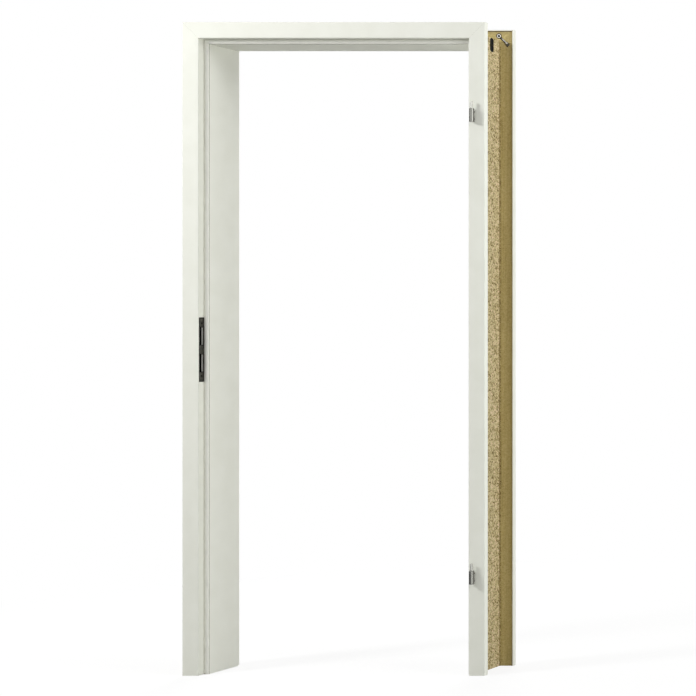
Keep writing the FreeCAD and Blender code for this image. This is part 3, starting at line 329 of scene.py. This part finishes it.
def shaded_milled_seat(tree, axes):
    """The milled step that the seal sits on, whose duller white is painted shade in the crevices
    beside the seal.
    """
    across, depth, _, rearward, _ = axes
    return both(
        tree, between(tree, rearward, -PAST, -FACES),
        between(tree, depth, -PAST, STEP_DEPTH + SLACK),
        between(tree, across, PASSAGE_SIDE, REBATE_SIDE + 2 * SLACK),
    )


def passage_edge(tree, axes):
    """The faces that look into the passage, as far back as just behind the milled step: the
    whole edge of the rebate, and a fine line on the lining."""
    _, depth, outward, _, _ = axes
    return both(
        tree, between(tree, outward, -PAST, -FACES),
        between(tree, depth, -PAST, STEP_DEPTH + GROOVE_SHADE_WIDTH),
    )


def mitre_hairline(tree, coordinates):
    """A fine line where the plane of both mitres cuts the surface."""
    place = add(tree, "ShaderNodeSeparateXYZ", {0: coordinates.outputs["Object"]})
    sideways = add(tree, "ShaderNodeMath", {0: place.outputs["X"]}, operation="ABSOLUTE")
    from_mitre = add(
        tree, "ShaderNodeMath", {0: place.outputs["Z"], 1: sideways.outputs[0]},
        operation="SUBTRACT",
    )
    return between(
        tree, from_mitre.outputs[0], HEAD_RISE - MITRE_LINE / 2, HEAD_RISE + MITRE_LINE / 2,
    )


def coated_board(name, raw_mask, is_head, fine_back, edge_tone):
    """Chipboard with a white lacquered wrap, bare where raw_mask says. The lacquer was
    rolled on and cured, so it is even and satin with hardly any waviness from the chips
    under it. The milled step is a duller white, painted shade in the crevices beside the
    seal, and a mitre shows as a hairline. The passage edge has edge_tone: a grey line of
    painted shade in the groove behind the seal on a lining, a greyer edge of painted shade
    on an upright rebate architrave, and lacquer white elsewhere."""
    material, tree, surface, coordinates = new_material(name)
    axes = board_axes(tree, coordinates, is_head)
    raw = raw_mask(tree, axes)
    wave = add(tree, "ShaderNodeTexNoise", {
        "Vector": coordinates.outputs["Object"], "Scale": per_metre(60), "Detail": 3.0,
        "Roughness": 0.5,
    }).outputs[0]
    lacquer = add(tree, "ShaderNodeValToRGB", {"Fac": wave}, list(zip((0.3, 0.7), WRAP_WHITES)))
    if fine_back:
        bare, relief = fibred(tree, coordinates, axes, is_head)
    else:
        bare, relief = flaked(tree, coordinates, axes)
    # The milled step's duller white is painted shade in the crevices beside the seal.
    colour = painted(
        tree, lacquer.outputs["Color"], (shaded_milled_seat(tree, axes), "EEEDE4"),
        (passage_edge(tree, axes), edge_tone), (mitre_hairline(tree, coordinates), "B4B2A6"),
        (raw, bare),
    )
    rough, height, strength = [
        add(tree, "ShaderNodeMix", {0: raw, 2: wrapped, 3: sawn}).outputs[0]
        for wrapped, sawn in ((0.6, 0.9), (wave, relief), (0.03, 0.4))
    ]
    bump = add(
        tree, "ShaderNodeBump", {"Height": height, "Strength": strength, "Distance": 0.3 * MM},
    )
    feed(tree, surface, {
        "Base Color": colour, "Roughness": rough, "Normal": bump.outputs[0],
        "Specular IOR Level": 0.25,
    })
    return material


def plain_finish(name, dark, light, grain_mm, detail, rough, specular, bumpy=0.0):
    """A matt solid-coloured finish with a slight grain in its colour, and in its surface
    where bumpy is above nothing."""
    material, tree, surface, coordinates = new_material(name)
    grain = add(tree, "ShaderNodeTexNoise", {
        "Vector": coordinates.outputs["Object"], "Scale": per_metre(grain_mm), "Detail": detail,
    }).outputs[0]
    colour = add(tree, "ShaderNodeValToRGB", {"Fac": grain}, [(0.3, dark), (0.7, light)])
    feed(tree, surface, {
        "Base Color": colour.outputs["Color"], "Roughness": rough, "Specular IOR Level": specular,
    })
    if bumpy:
        bump = add(
            tree, "ShaderNodeBump", {"Height": grain, "Strength": bumpy, "Distance": 0.05 * MM},
        )
        feed(tree, surface, {"Normal": bump.outputs[0]})
    return material


def metal(name, dark, light, rough, grain_mm, stretch):
    """A metal with a drawn or tumbled grain. stretch squeezes the grain along each axis.
    Returns the material, its tree, surface and Texture Coordinate node."""
    material, tree, surface, coordinates = new_material(name)
    along = add(
        tree, "ShaderNodeMapping", {"Vector": coordinates.outputs["Object"], "Scale": stretch},
    )
    grain = add(tree, "ShaderNodeTexNoise", {
        "Vector": along.outputs[0], "Scale": per_metre(grain_mm), "Detail": 5.0, "Roughness": 0.6,
    }).outputs[0]
    colour = add(tree, "ShaderNodeValToRGB", {"Fac": grain}, [(0.25, dark), (0.75, light)])
    blur = add(tree, "ShaderNodeMix", {0: grain, 2: rough * 0.8, 3: rough * 1.25})
    bump = add(tree, "ShaderNodeBump", {"Height": grain, "Strength": 0.15, "Distance": 0.05 * MM})
    feed(tree, surface, {
        "Base Color": colour.outputs["Color"], "Roughness": blur.outputs[0],
        "Normal": bump.outputs[0], "Metallic": 1.0,
    })
    return material, tree, surface, coordinates


def light_and_shade_patch(tree, surface, mask, colour, **numbers):
    """Give a surface another colour, and other numbers where they are given, in a mask. Here it
    paints light and shade onto the metals.
    """
    first = surface.inputs["Base Color"].links[0].from_socket
    feed(tree, surface, {"Base Color": painted(tree, first, (mask, colour))})
    for name, number in numbers.items():
        given = surface.inputs[name]
        first = given.links[0].from_socket if given.links else given.default_value
        changed = add(tree, "ShaderNodeMix", {0: mask, 2: first, 3: number})
        feed(tree, surface, {name: changed.outputs[0]})


def folded_strike_steel():
    """Strike plate: mild steel, pressed and bent. It is satin, and its dark grey is a painted
    dark reflection. It is near black along its ends and front edge, and along its rear edge
    as painted shade in the rebate's corner. The lips that the latch and the bolt run over are
    painted pale and matt, as light that they catch."""
    # The plate's dark grey is painted: a dark reflection drawn into its colour.
    material, tree, surface, coordinates = metal(
        "strike_steel_painted_dark", "474743", "76766F", rough=0.42, grain_mm=2.5,
        stretch=(1, 1, 0.25),
    )
    dark_end_width, corner_shade_width, lit_lip_depth = 2.5 * MM, 3 * MM, 1.6 * MM
    place = add(tree, "ShaderNodeSeparateXYZ", {0: coordinates.outputs["Object"]})
    # Near black along the ends and front edge, and painted shade along the rear edge in the rebate's
    # corner.
    edge = either(
        tree, between(tree, place.outputs["Y"], -PAST, plate_low.y + dark_end_width),
        between(tree, place.outputs["Y"], plate_high.y - corner_shade_width, PAST),
        between(tree, place.outputs["Z"], -PAST, plate_low.z + dark_end_width),
        between(tree, place.outputs["Z"], plate_high.z - dark_end_width, PAST),
    )
    light_and_shade_patch(tree, surface, edge, "1E1E1C")
    # Painted light: the lips are drawn pale and matt, as light that they catch.
    lit_lips = between(tree, place.outputs["X"], -PAST, -REBATE_SIDE - lit_lip_depth)
    light_and_shade_patch(tree, surface, lit_lips, "F4F4EE", Roughness=0.55, Metallic=0.0)
    return material


def cast_zinc_cam():
    """Mitre cam: zinc, die cast and tumbled. Its face is silver grey. Its rim is painted darker
    as shade from its bore, and its key socket is painted near black as shade in the recess
    and oil."""
    material, tree, surface, coordinates = metal(
        "die_cast_zinc_cam", "B8B6AE", "DCDAD2", rough=0.4, grain_mm=1.5, stretch=(1, 1, 1),
    )
    away = from_cam(tree, coordinates)
    shaded_rim_from, shaded_socket_to = 0.82 * CAM_RADIUS, 0.54 * CAM_RADIUS
    # Painted shade: the rim is drawn darker, as shade from the cam's bore.
    light_and_shade_patch(tree, surface, between(tree, away, shaded_rim_from, PAST), "4A4843")
    # Painted shade and oil: the key socket is drawn near black.
    light_and_shade_patch(tree, surface, between(tree, away, -PAST, shaded_socket_to), "0A0A09", Metallic=0.0)
    return material


def dress(material, *nodes):
    """Give CAD nodes a material."""
    for node in nodes:
        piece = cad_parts[node]
        piece.data.materials.clear()
        piece.data.materials.append(material)


SIDES = ("lock_side", "hinge_side")
HINGE_LEVELS = {"upper_hinge": 1742, "lower_hinge": 307}  # the receivers' middles, in mm

# A board's name, what is raw on it, whether its back is the finer board, and the tone of
# its passage edge on the uprights and on the head.
boards = [
    ("lining", raw_lining, False, GROOVE_SHADE, GROOVE_SHADE),
    ("rebate_architrave", raw_rebate_architrave, False, REBATE_EDGE_SHADE, WRAP_WHITES[1]),
    ("rear_architrave", raw_rear_architrave, True, WRAP_WHITES[0], WRAP_WHITES[0]),
]
for board, mask, fine_back, upright_edge, head_edge in boards:
    upright = coated_board(f"lacquered_{board}_upright", mask, False, fine_back, upright_edge)
    dress(upright, *[f"{board}_{side}" for side in SIDES])
    head = coated_board(f"lacquered_{board}_head", mask, True, fine_back, head_edge)
    dress(head, f"{board}_head")

# Knuckles and studs: brass, turned, then nickel plated. Mid grey and smooth, so that they
# mirror the studio.
hinge_nickel = metal(
    "nickel_plated_hinge", "74746F", "8A8A84", rough=0.2, grain_mm=1.0, stretch=(1, 1, 4),
)[0]
# Pins: steel, ground. A little paler and duller than the knuckles.
pin_steel = metal(
    "ground_pin_steel", "A0A09A", "B2B2AC", rough=0.3, grain_mm=1.0, stretch=(1, 1, 4),
)[0]
# Bolts, screws and receivers: steel, zinc plated in a drum. Silver, a little cloudy.
zinc_steel = metal(
    "zinc_plated_steel", "C4C2BA", "E0DED6", rough=0.4, grain_mm=2.0, stretch=(1, 1, 1),
)[0]
# Screws of the strike plate and of the black connectors: steel, blackened to match them.
black_steel = metal(
    "blackened_screw_steel", "2A2A27", "45453F", rough=0.45, grain_mm=1.0, stretch=(1, 1, 1),
)[0]
# Seals: soft thermoplastic, extruded. Matt and off-white, with faint drag marks.
rubber = plain_finish(
    "extruded_seal_elastomer", "F3F3EC", "F8F8F1", grain_mm=20, detail=2.0, rough=0.7,
    specular=0.25,
)
# Strike box and corner connectors: polyamide, injection moulded in a spark-eroded mould.
# Black, with a fine dull grain.
plastic = plain_finish(
    "moulded_black_plastic", "080808", "121211", grain_mm=0.8, detail=2.0, rough=0.6,
    specular=0.3, bumpy=0.2,
)
# Mitre biscuits: beech, sawn and pressed thin. Tan and matt, with short grain flecks.
beech = plain_finish(
    "pressed_beech", "B58F5E", "D0AC79", grain_mm=3, detail=4.0, rough=0.7, specular=0.5,
)

dress(rubber, "seal_lock_side", "seal_hinge_side", "seal_head")
dress(folded_strike_steel(), "strike_plate")
dress(plastic, "strike_box", "corner_connectors")
dress(black_steel, "strike_plate_screws", "corner_connector_screws")
dress(cast_zinc_cam(), "mitre_cams")
dress(zinc_steel, "mitre_bolts")
dress(beech, "mitre_biscuits")
for hinge in HINGE_LEVELS:
    dress(hinge_nickel, f"{hinge}_knuckle", f"{hinge}_studs")
    dress(pin_steel, f"{hinge}_pin")
    dress(
        zinc_steel, f"{hinge}_receiver", f"{hinge}_clamp_screws", f"{hinge}_receiver_screws",
    )


def placed(name, data):
    """A new object with this mesh, curve, lamp or camera, in the scene."""
    made = bpy.data.objects.new(name, data)
    scene.collection.objects.link(made)
    return made


def new_tree(name, inputs):
    """A Geometry Nodes tree with a geometry in and out, the inputs (name, socket type) and a
    material called Finish. Returns it and its Group Input."""
    tree = bpy.data.node_groups.new(name, "GeometryNodeTree")
    tree.interface.new_socket("Geometry", in_out="INPUT", socket_type="NodeSocketGeometry")
    for label, kind in (*inputs, ("Finish", "NodeSocketMaterial")):
        tree.interface.new_socket(label, in_out="INPUT", socket_type=kind)
    tree.interface.new_socket("Geometry", in_out="OUTPUT", socket_type="NodeSocketGeometry")
    return tree, add(tree, "NodeGroupInput")


def finish_tree(tree, given, geometry):
    """End a tree in Realize Instances and Set Material."""
    real = add(tree, "GeometryNodeRealizeInstances", {"Geometry": geometry})
    finished = add(
        tree, "GeometryNodeSetMaterial",
        {"Geometry": real.outputs[0], "Material": given.outputs["Finish"]},
    )
    add(tree, "NodeGroupOutput", {"Geometry": finished.outputs[0]})


def made_by(tree, name, data, values):
    """The plain mesh that a tree makes of a mesh or curve, as a new object at the origin.
    values are the tree's inputs by name."""
    source = placed(name, data)
    modifier = source.modifiers.new(tree.name, "NODES")
    modifier.node_group = tree
    for item in tree.interface.items_tree:
        if item.item_type == "SOCKET" and item.in_out == "INPUT" and item.name in values:
            modifier[item.identifier] = values[item.name]
    evaluated = source.evaluated_get(bpy.context.evaluated_depsgraph_get())
    mesh = bpy.data.meshes.new_from_object(evaluated)
    mesh.name = name
    mesh.materials.clear()
    mesh.materials.append(values["Finish"])
    mesh.polygons.foreach_set("material_index", [0] * len(mesh.polygons))
    bpy.data.objects.remove(source)
    work = bmesh.new()
    work.from_mesh(mesh)
    bmesh.ops.remove_doubles(work, verts=work.verts, dist=0.001 * MM)
    bmesh.ops.recalc_face_normals(work, faces=work.faces)
    work.to_mesh(mesh)
    work.free()
    return placed(name, mesh)


# Sizes of the seal's section, in metres, about its middle line.
SEAL_MIDDLE = (PASSAGE_SIDE + REBATE_SIDE) / 2
SEAL_HALF = (seal_high.x - seal_low.x) / 2
SEAL_SHOULDER = STEP_DEPTH - 2.9 * MM
SEAL_RADIUS = 11 * MM
SEAL_CENTRE = SEAL_SHOULDER + math.sqrt(SEAL_RADIUS ** 2 - SEAL_HALF ** 2)
SEAL_WALL = 1.1 * MM
SEAL_STEM_HALF = 1.4 * MM
SEAL_FOOT = seal_high.y
SEAL_SHARP = math.radians(35)  # an edge that turns more than this stays sharp
ARCH_STEPS = 24  # points over the seal's arch, fine enough to look round


def arch(half, radius):
    """Points over the seal's low arch from its inner to its outer shoulder."""
    reach = math.asin(half / radius)
    angles = [reach * (2 * step / ARCH_STEPS - 1) for step in range(ARCH_STEPS + 1)]
    return [
        (SEAL_MIDDLE + radius * math.sin(angle), SEAL_CENTRE - radius * math.cos(angle))
        for angle in angles
    ]


def seal_section():
    """The seal's outline and its hollow, each a loop of (across, depth)."""
    outline = arch(SEAL_HALF, SEAL_RADIUS) + [
        (SEAL_MIDDLE + SEAL_HALF, STEP_DEPTH), (SEAL_MIDDLE + SEAL_STEM_HALF, STEP_DEPTH),
        (SEAL_MIDDLE + SEAL_STEM_HALF, SEAL_FOOT), (SEAL_MIDDLE - SEAL_STEM_HALF, SEAL_FOOT),
        (SEAL_MIDDLE - SEAL_STEM_HALF, STEP_DEPTH), (SEAL_MIDDLE - SEAL_HALF, STEP_DEPTH),
    ]
    inside = SEAL_HALF - SEAL_WALL
    hollow = arch(inside, SEAL_RADIUS - SEAL_WALL) + [
        (SEAL_MIDDLE + inside, STEP_DEPTH - SEAL_WALL),
        (SEAL_MIDDLE - inside, STEP_DEPTH - SEAL_WALL),
    ]
    return outline, hollow


def laid_out(tree, across, depth, origin, direction):
    """A section's point in space: origin, across times direction, and its depth along Y."""
    sideways = add(
        tree, "ShaderNodeVectorMath", {"Vector": direction, "Scale": across}, operation="SCALE",
    )
    inward = add(tree, "ShaderNodeCombineXYZ", {"Y": depth})
    place = add(tree, "ShaderNodeVectorMath", {0: origin, 1: sideways.outputs[0]})
    return add(tree, "ShaderNodeVectorMath", {0: place.outputs[0], 1: inward.outputs[0]}).outputs[0]


def mitred_run_tree():
    """Makes a straight run from a flat section. Each end is the section laid out along a
    direction of its own, so that an end comes out square or as an exact mitre."""
    ends = ("Start Origin", "Start Across", "End Origin", "End Across")
    tree, given = new_tree("mitred_run", [(name, "NodeSocketVector") for name in ends])
    filled = add(
        tree, "GeometryNodeFillCurve", {"Curve": given.outputs["Geometry"]}, mode="TRIANGLES",
    )
    walls = add(tree, "GeometryNodeExtrudeMesh", {
        "Mesh": filled.outputs[0], "Offset": (0, 0, 1), "Offset Scale": 1.0, "Individual": False,
    })
    base = add(tree, "GeometryNodeFlipFaces", {"Mesh": filled.outputs[0]})
    joined = add(tree, "GeometryNodeJoinGeometry", {0: walls.outputs["Mesh"]})
    feed(tree, joined, {0: base.outputs[0]})
    closed = add(
        tree, "GeometryNodeMergeByDistance",
        {"Geometry": joined.outputs[0], "Distance": 0.01 * MM},
    )
    position = add(tree, "GeometryNodeInputPosition")
    spot = add(tree, "ShaderNodeSeparateXYZ", {0: position.outputs[0]})
    start, end = [
        laid_out(
            tree, spot.outputs["X"], spot.outputs["Y"],
            given.outputs[f"{name} Origin"], given.outputs[f"{name} Across"],
        )
        for name in ("Start", "End")
    ]
    chosen = add(
        tree, "ShaderNodeMix", {0: spot.outputs["Z"], 4: start, 5: end}, data_type="VECTOR",
    )
    moved = add(
        tree, "GeometryNodeSetPosition",
        {"Geometry": closed.outputs[0], "Position": chosen.outputs[1]},
    )
    finish_tree(tree, given, moved.outputs[0])
    return tree


def seal_strip(tree, name, node, start, end):
    """One length of seal. start and end are an origin and the direction across the section."""
    section = bpy.data.curves.new(name, "CURVE")
    section.dimensions = "2D"
    section.fill_mode = "NONE"
    for loop in seal_section():
        spline = section.splines.new("POLY")
        spline.points.add(len(loop) - 1)
        for point, (across, depth) in zip(spline.points, loop):
            point.co = (across, depth, 0, 1)
        spline.use_cyclic_u = True
    piece = made_by(tree, name, section, {
        "Start Origin": start[0], "Start Across": start[1],
        "End Origin": end[0], "End Across": end[1], "Finish": rubber,
    })
    piece.data.shade_smooth()
    piece.data.set_sharp_from_angle(angle=SEAL_SHARP)
    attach(piece, "frame")
    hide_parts(node)


FLOOR_LEVEL = (0.0, 0.0, 0.0)
MITRE_LEVEL = (0.0, 0.0, HEAD_RISE)
mitred_run = mitred_run_tree()
for side_name, side in zip(SIDES, (-1.0, 1.0)):
    seal_strip(
        mitred_run, f"{side_name}_seal_strip", f"seal_{side_name}",
        (FLOOR_LEVEL, (side, 0.0, 0.0)), (MITRE_LEVEL, (side, 0.0, 1.0)),
    )
seal_strip(
    mitred_run, "head_seal_strip", "seal_head",
    (MITRE_LEVEL, (-1.0, 0.0, 1.0)), (MITRE_LEVEL, (1.0, 0.0, 1.0)),
)

STEPS_A_TURN = 12  # straight parts in a turn of a thread
RIDGE_SIDES = 4  # sides of the ridge's section


def screw_thread_tree():
    """Makes a screw's helical ridge at every point of a mesh, along X towards or away from
    the middle of the frame. Inputs are the thread's sizes in metres and its direction."""
    sizes = ("Core Radius", "Ridge", "Pitch", "Start", "Length", "Inward")
    tree, given = new_tree("screw_threads", [(name, "NodeSocketFloat") for name in sizes])
    turns = add(
        tree, "ShaderNodeMath", {0: given.outputs["Length"], 1: given.outputs["Pitch"]},
        operation="DIVIDE",
    )
    helix = add(tree, "GeometryNodeCurveSpiral", {
        "Resolution": STEPS_A_TURN, "Rotations": turns.outputs[0],
        "Start Radius": given.outputs["Core Radius"], "End Radius": given.outputs["Core Radius"],
        "Height": given.outputs["Length"],
    })
    ridge = add(
        tree, "GeometryNodeCurvePrimitiveCircle",
        {"Resolution": RIDGE_SIDES, "Radius": given.outputs["Ridge"]},
    )
    swept = add(tree, "GeometryNodeCurveToMesh", {
        "Curve": helix.outputs[0], "Profile Curve": ridge.outputs[0], "Fill Caps": True,
    })
    past_head = add(tree, "ShaderNodeCombineXYZ", {"Z": given.outputs["Start"]})
    moved = add(
        tree, "GeometryNodeTransform",
        {"Geometry": swept.outputs[0], "Translation": past_head.outputs[0]},
    )
    position = add(tree, "GeometryNodeInputPosition")
    spot = add(tree, "ShaderNodeSeparateXYZ", {0: position.outputs[0]})
    side = add(tree, "ShaderNodeMath", {0: spot.outputs["X"]}, operation="SIGN")
    turned = add(
        tree, "ShaderNodeMath", {0: side.outputs[0], 1: given.outputs["Inward"]},
        operation="MULTIPLY",
    )
    angle = add(
        tree, "ShaderNodeMath", {0: turned.outputs[0], 1: -math.pi / 2}, operation="MULTIPLY",
    )
    rotation = add(tree, "ShaderNodeCombineXYZ", {"Y": angle.outputs[0]})
    spread = add(tree, "GeometryNodeInstanceOnPoints", {
        "Points": given.outputs["Geometry"], "Instance": moved.outputs[0],
        "Rotation": rotation.outputs[0],
    })
    finish_tree(tree, given, spread.outputs[0])
    return tree


def screw_threads(tree, name, heads, diameter, pitch, start, length, inward, finish):
    """The threads of a set of screws, from the middles of their heads. Sizes are in mm.
    inward is 1 where they run towards the middle of the frame and -1 where away."""
    points = bpy.data.meshes.new(name)
    points.from_pydata([[c * MM for c in head] for head in heads], [], [])
    piece = made_by(tree, name, points, {
        "Core Radius": diameter / 2 * MM, "Ridge": diameter / 8 * MM, "Pitch": pitch * MM,
        "Start": start * MM, "Length": length * MM, "Inward": inward, "Finish": finish,
    })
    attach(piece, "frame")


# Middles of the screws' heads in mm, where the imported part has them.
STRIKE_HEADS = [(-420.5, -60.55, level) for level in (1096, 932)]
CONNECTOR_HEADS = [
    (side * 430.5, depth, 1980.5) for side in (-1, 1) for depth in (32.85, -20.15)
]
thread_tree = screw_thread_tree()
screw_threads(
    thread_tree, "strike_screw_threads", STRIKE_HEADS, diameter=4, pitch=1.8, start=4,
    length=11, inward=-1.0, finish=black_steel,
)
screw_threads(
    thread_tree, "connector_screw_threads", CONNECTOR_HEADS, diameter=5, pitch=2.2, start=9,
    length=37, inward=1.0, finish=black_steel,
)
for hinge, level in HINGE_LEVELS.items():
    receiver_heads = [
        (433.5, depth, level + offset) for depth in (-37.65, -20.65) for offset in (-22, 22)
    ]
    screw_threads(
        thread_tree, f"{hinge}_receiver_screw_threads", receiver_heads, diameter=4,
        pitch=1.8, start=5, length=9, inward=1.0, finish=zinc_steel,
    )


def soft_box(name, place, aim_height, size, power, mirrored=True):
    """A square studio light that faces a point on the frame's middle line. Bright metal
    mirrors it where asked."""
    data = bpy.data.lights.new(name, "AREA")
    data.size = size
    data.energy = power
    lamp = placed(name, data)
    lamp.location = place
    towards = Vector((0.0, 0.0, aim_height)) - Vector(place)
    lamp.rotation_euler = towards.to_track_quat("-Z", "Y").to_euler()
    lamp.visible_glossy = mirrored


# A key high on the left gives the face its fade and throws the hinges' shadows to the right.
# A broad lamp in front fills it. A high and a low lamp far to the right light the reveals
# and the wall side. One beside the frame brightens the outer edges, and two light the back.
soft_box("key_light", (-2.6, -1.9, 3.0), aim_height=1.2, size=0.9, power=92)
soft_box("front_fill", (-0.5, -4.5, 2.6), aim_height=1.0, size=2.0, power=14)
soft_box("right_low_light", (4.6, -2.2, 1.0), aim_height=1.0, size=2.0, power=72)
soft_box("right_high_light", (5.0, -1.2, 3.8), aim_height=1.0, size=2.0, power=114)
soft_box("side_light", (4.5, 0.2, 2.4), aim_height=1.2, size=0.5, power=15, mirrored=False)
soft_box("rear_light", (-1.5, 4.5, 3.2), aim_height=1.0, size=2.5, power=150)
soft_box("rear_left_light", (-4.5, 1.8, 2.0), aim_height=1.0, size=2.0, power=35)


def seen_directly(tree):
    """1 for camera, glossy and transmission rays."""
    rays = add(tree, "ShaderNodeLightPath")
    return either(
        tree, rays.outputs["Is Camera Ray"], rays.outputs["Is Glossy Ray"],
        rays.outputs["Is Transmission Ray"],
    )


# The room is white to the eye and sends only a little light to the frame.
AMBIENT = 0.23
PURE_WHITE = (1, 1, 1, 1)
scene.world = bpy.data.worlds.new("plain_studio")
sky = bare_tree(scene.world)
dim = add(sky, "ShaderNodeBackground", {"Color": linear("FFFFFC"), "Strength": AMBIENT})
bright = add(sky, "ShaderNodeBackground", {"Color": PURE_WHITE, "Strength": 1.0})
shown = add(
    sky, "ShaderNodeMixShader", {0: seen_directly(sky), 1: dim.outputs[0], 2: bright.outputs[0]},
)
add(sky, "ShaderNodeOutputWorld", {"Surface": shown.outputs[0]})

FLOOR_HALF = 6.0
FLOOR_GAP = 0.2 * MM  # keeps the floor off the frame's feet
SHADOW_SHARE = 0.15  # how much of a shadow the white floor shows
SHADOW_REACH = (0.8, 2.5)  # where the shadow starts to fade and where it ends


def white_floor():
    """A pale studio floor: white to the eye, with a faint shadow near the frame, and greyer
    for the light that it sends up to the frame."""
    material = bpy.data.materials.new("pale_studio_floor")
    tree = bare_tree(material)
    coordinates = add(tree, "ShaderNodeTexCoord")
    away = add(
        tree, "ShaderNodeVectorMath", {0: coordinates.outputs["Object"]}, operation="LENGTH",
    )
    near = add(tree, "ShaderNodeMapRange", {
        "Value": away.outputs["Value"], "From Min": SHADOW_REACH[0], "From Max": SHADOW_REACH[1],
        "To Min": SHADOW_SHARE, "To Max": 0.0,
    })
    paint, seen_paint = [
        add(tree, "ShaderNodeBsdfDiffuse", {"Color": linear(tone)}).outputs[0]
        for tone in ("949490", "FAFAFA")
    ]
    glow = add(tree, "ShaderNodeEmission", {"Color": PURE_WHITE, "Strength": 1.0})
    seen = add(tree, "ShaderNodeMixShader", {0: near.outputs[0], 1: glow.outputs[0], 2: seen_paint})
    whole = add(
        tree, "ShaderNodeMixShader", {0: seen_directly(tree), 1: paint, 2: seen.outputs[0]},
    )
    add(tree, "ShaderNodeOutputMaterial", {"Surface": whole.outputs[0]})
    return material


def stage_sheet(name, corners, material):
    """A flat four-cornered piece of the studio."""
    mesh = bpy.data.meshes.new(name)
    mesh.from_pydata(corners, [], [(0, 1, 2, 3)])
    mesh.materials.append(material)
    sheet = placed(name, mesh)
    return sheet


FLOOR_CORNERS = [
    (x * FLOOR_HALF, y * FLOOR_HALF, 0.0) for x, y in ((-1, -1), (1, -1), (1, 1), (-1, 1))
]
floor = stage_sheet("studio_floor", FLOOR_CORNERS, white_floor())
floor.location.z = -FLOOR_GAP


def mirrored_card(name, start, end, levels, glow):
    """An upright card from one place on the floor plan to another and between two levels,
    that only bright metal mirrors."""
    (x1, y1), (x2, y2), (low, high) = start, end, levels
    material = bpy.data.materials.new(name)
    tree = bare_tree(material)
    shine = add(tree, "ShaderNodeEmission", {"Color": PURE_WHITE, "Strength": glow})
    add(tree, "ShaderNodeOutputMaterial", {"Surface": shine.outputs[0]})
    corners = [(x1, y1, low), (x2, y2, low), (x2, y2, high), (x1, y1, high)]
    card = stage_sheet(name, corners, material)
    for rays in ("camera", "diffuse", "transmission", "volume_scatter", "shadow"):
        setattr(card, f"visible_{rays}", False)


# Studio cards for the bright hinges: black ones on both sides give them dark bands, and a
# white one gives them the bright band between. The lower hinge looks down and past these, so
# it has a small black card and a small white one near it.
CARD_TOP = 3.5
BLACK_GLOW = 0.04
mirrored_card("left_black_card", (-5.0, -0.6), (-2.2, -4.2), (0.0, CARD_TOP), BLACK_GLOW)
mirrored_card("right_black_card", (5.6, 0.4), (4.4, 5.2), (0.0, CARD_TOP), BLACK_GLOW)
mirrored_card("white_card", (1.51, -1.27), (2.03, -0.03), (1.0, CARD_TOP), 3.0)
mirrored_card("low_black_card", (-0.02, -0.1), (0.35, -0.53), (0.2, 0.28), BLACK_GLOW)
mirrored_card("low_white_card", (0.82, -1.23), (1.36, -0.85), (0.05, 0.25), 2.2)

# The photograph keeps the face flat and square, as a view camera does whose back stays
# parallel to the face while its lens looks in from the right. A camera stand holds that
# skew, so that the camera itself needs no shift and turns freely to any other view.
EYE = Vector((3.389, -5.09839, 1.07))
LOOK = Vector((-0.66561, 1.0, -0.01009)).normalized()
LENS_MM = 100.4
SENSOR_MM = 36.0
VIEW_END = 60.0

camera_data = bpy.data.cameras.new("view_camera")
camera_data.sensor_width = SENSOR_MM
camera_data.lens = LENS_MM
camera_data.clip_end = VIEW_END
camera = placed("view_camera", camera_data)
camera.parent = placed("camera_stand", None)
camera.matrix_parent_inverse = Matrix((
    (1.0, 0.0, -LOOK.x, EYE.x),
    (0.0, 0.0, -LOOK.y, EYE.y),
    (0.0, 1.0, -LOOK.z, EYE.z),
    (0.0, 0.0, 0.0, 1.0),
))
scene.camera = camera
scene.view_settings.view_transform = "Standard"
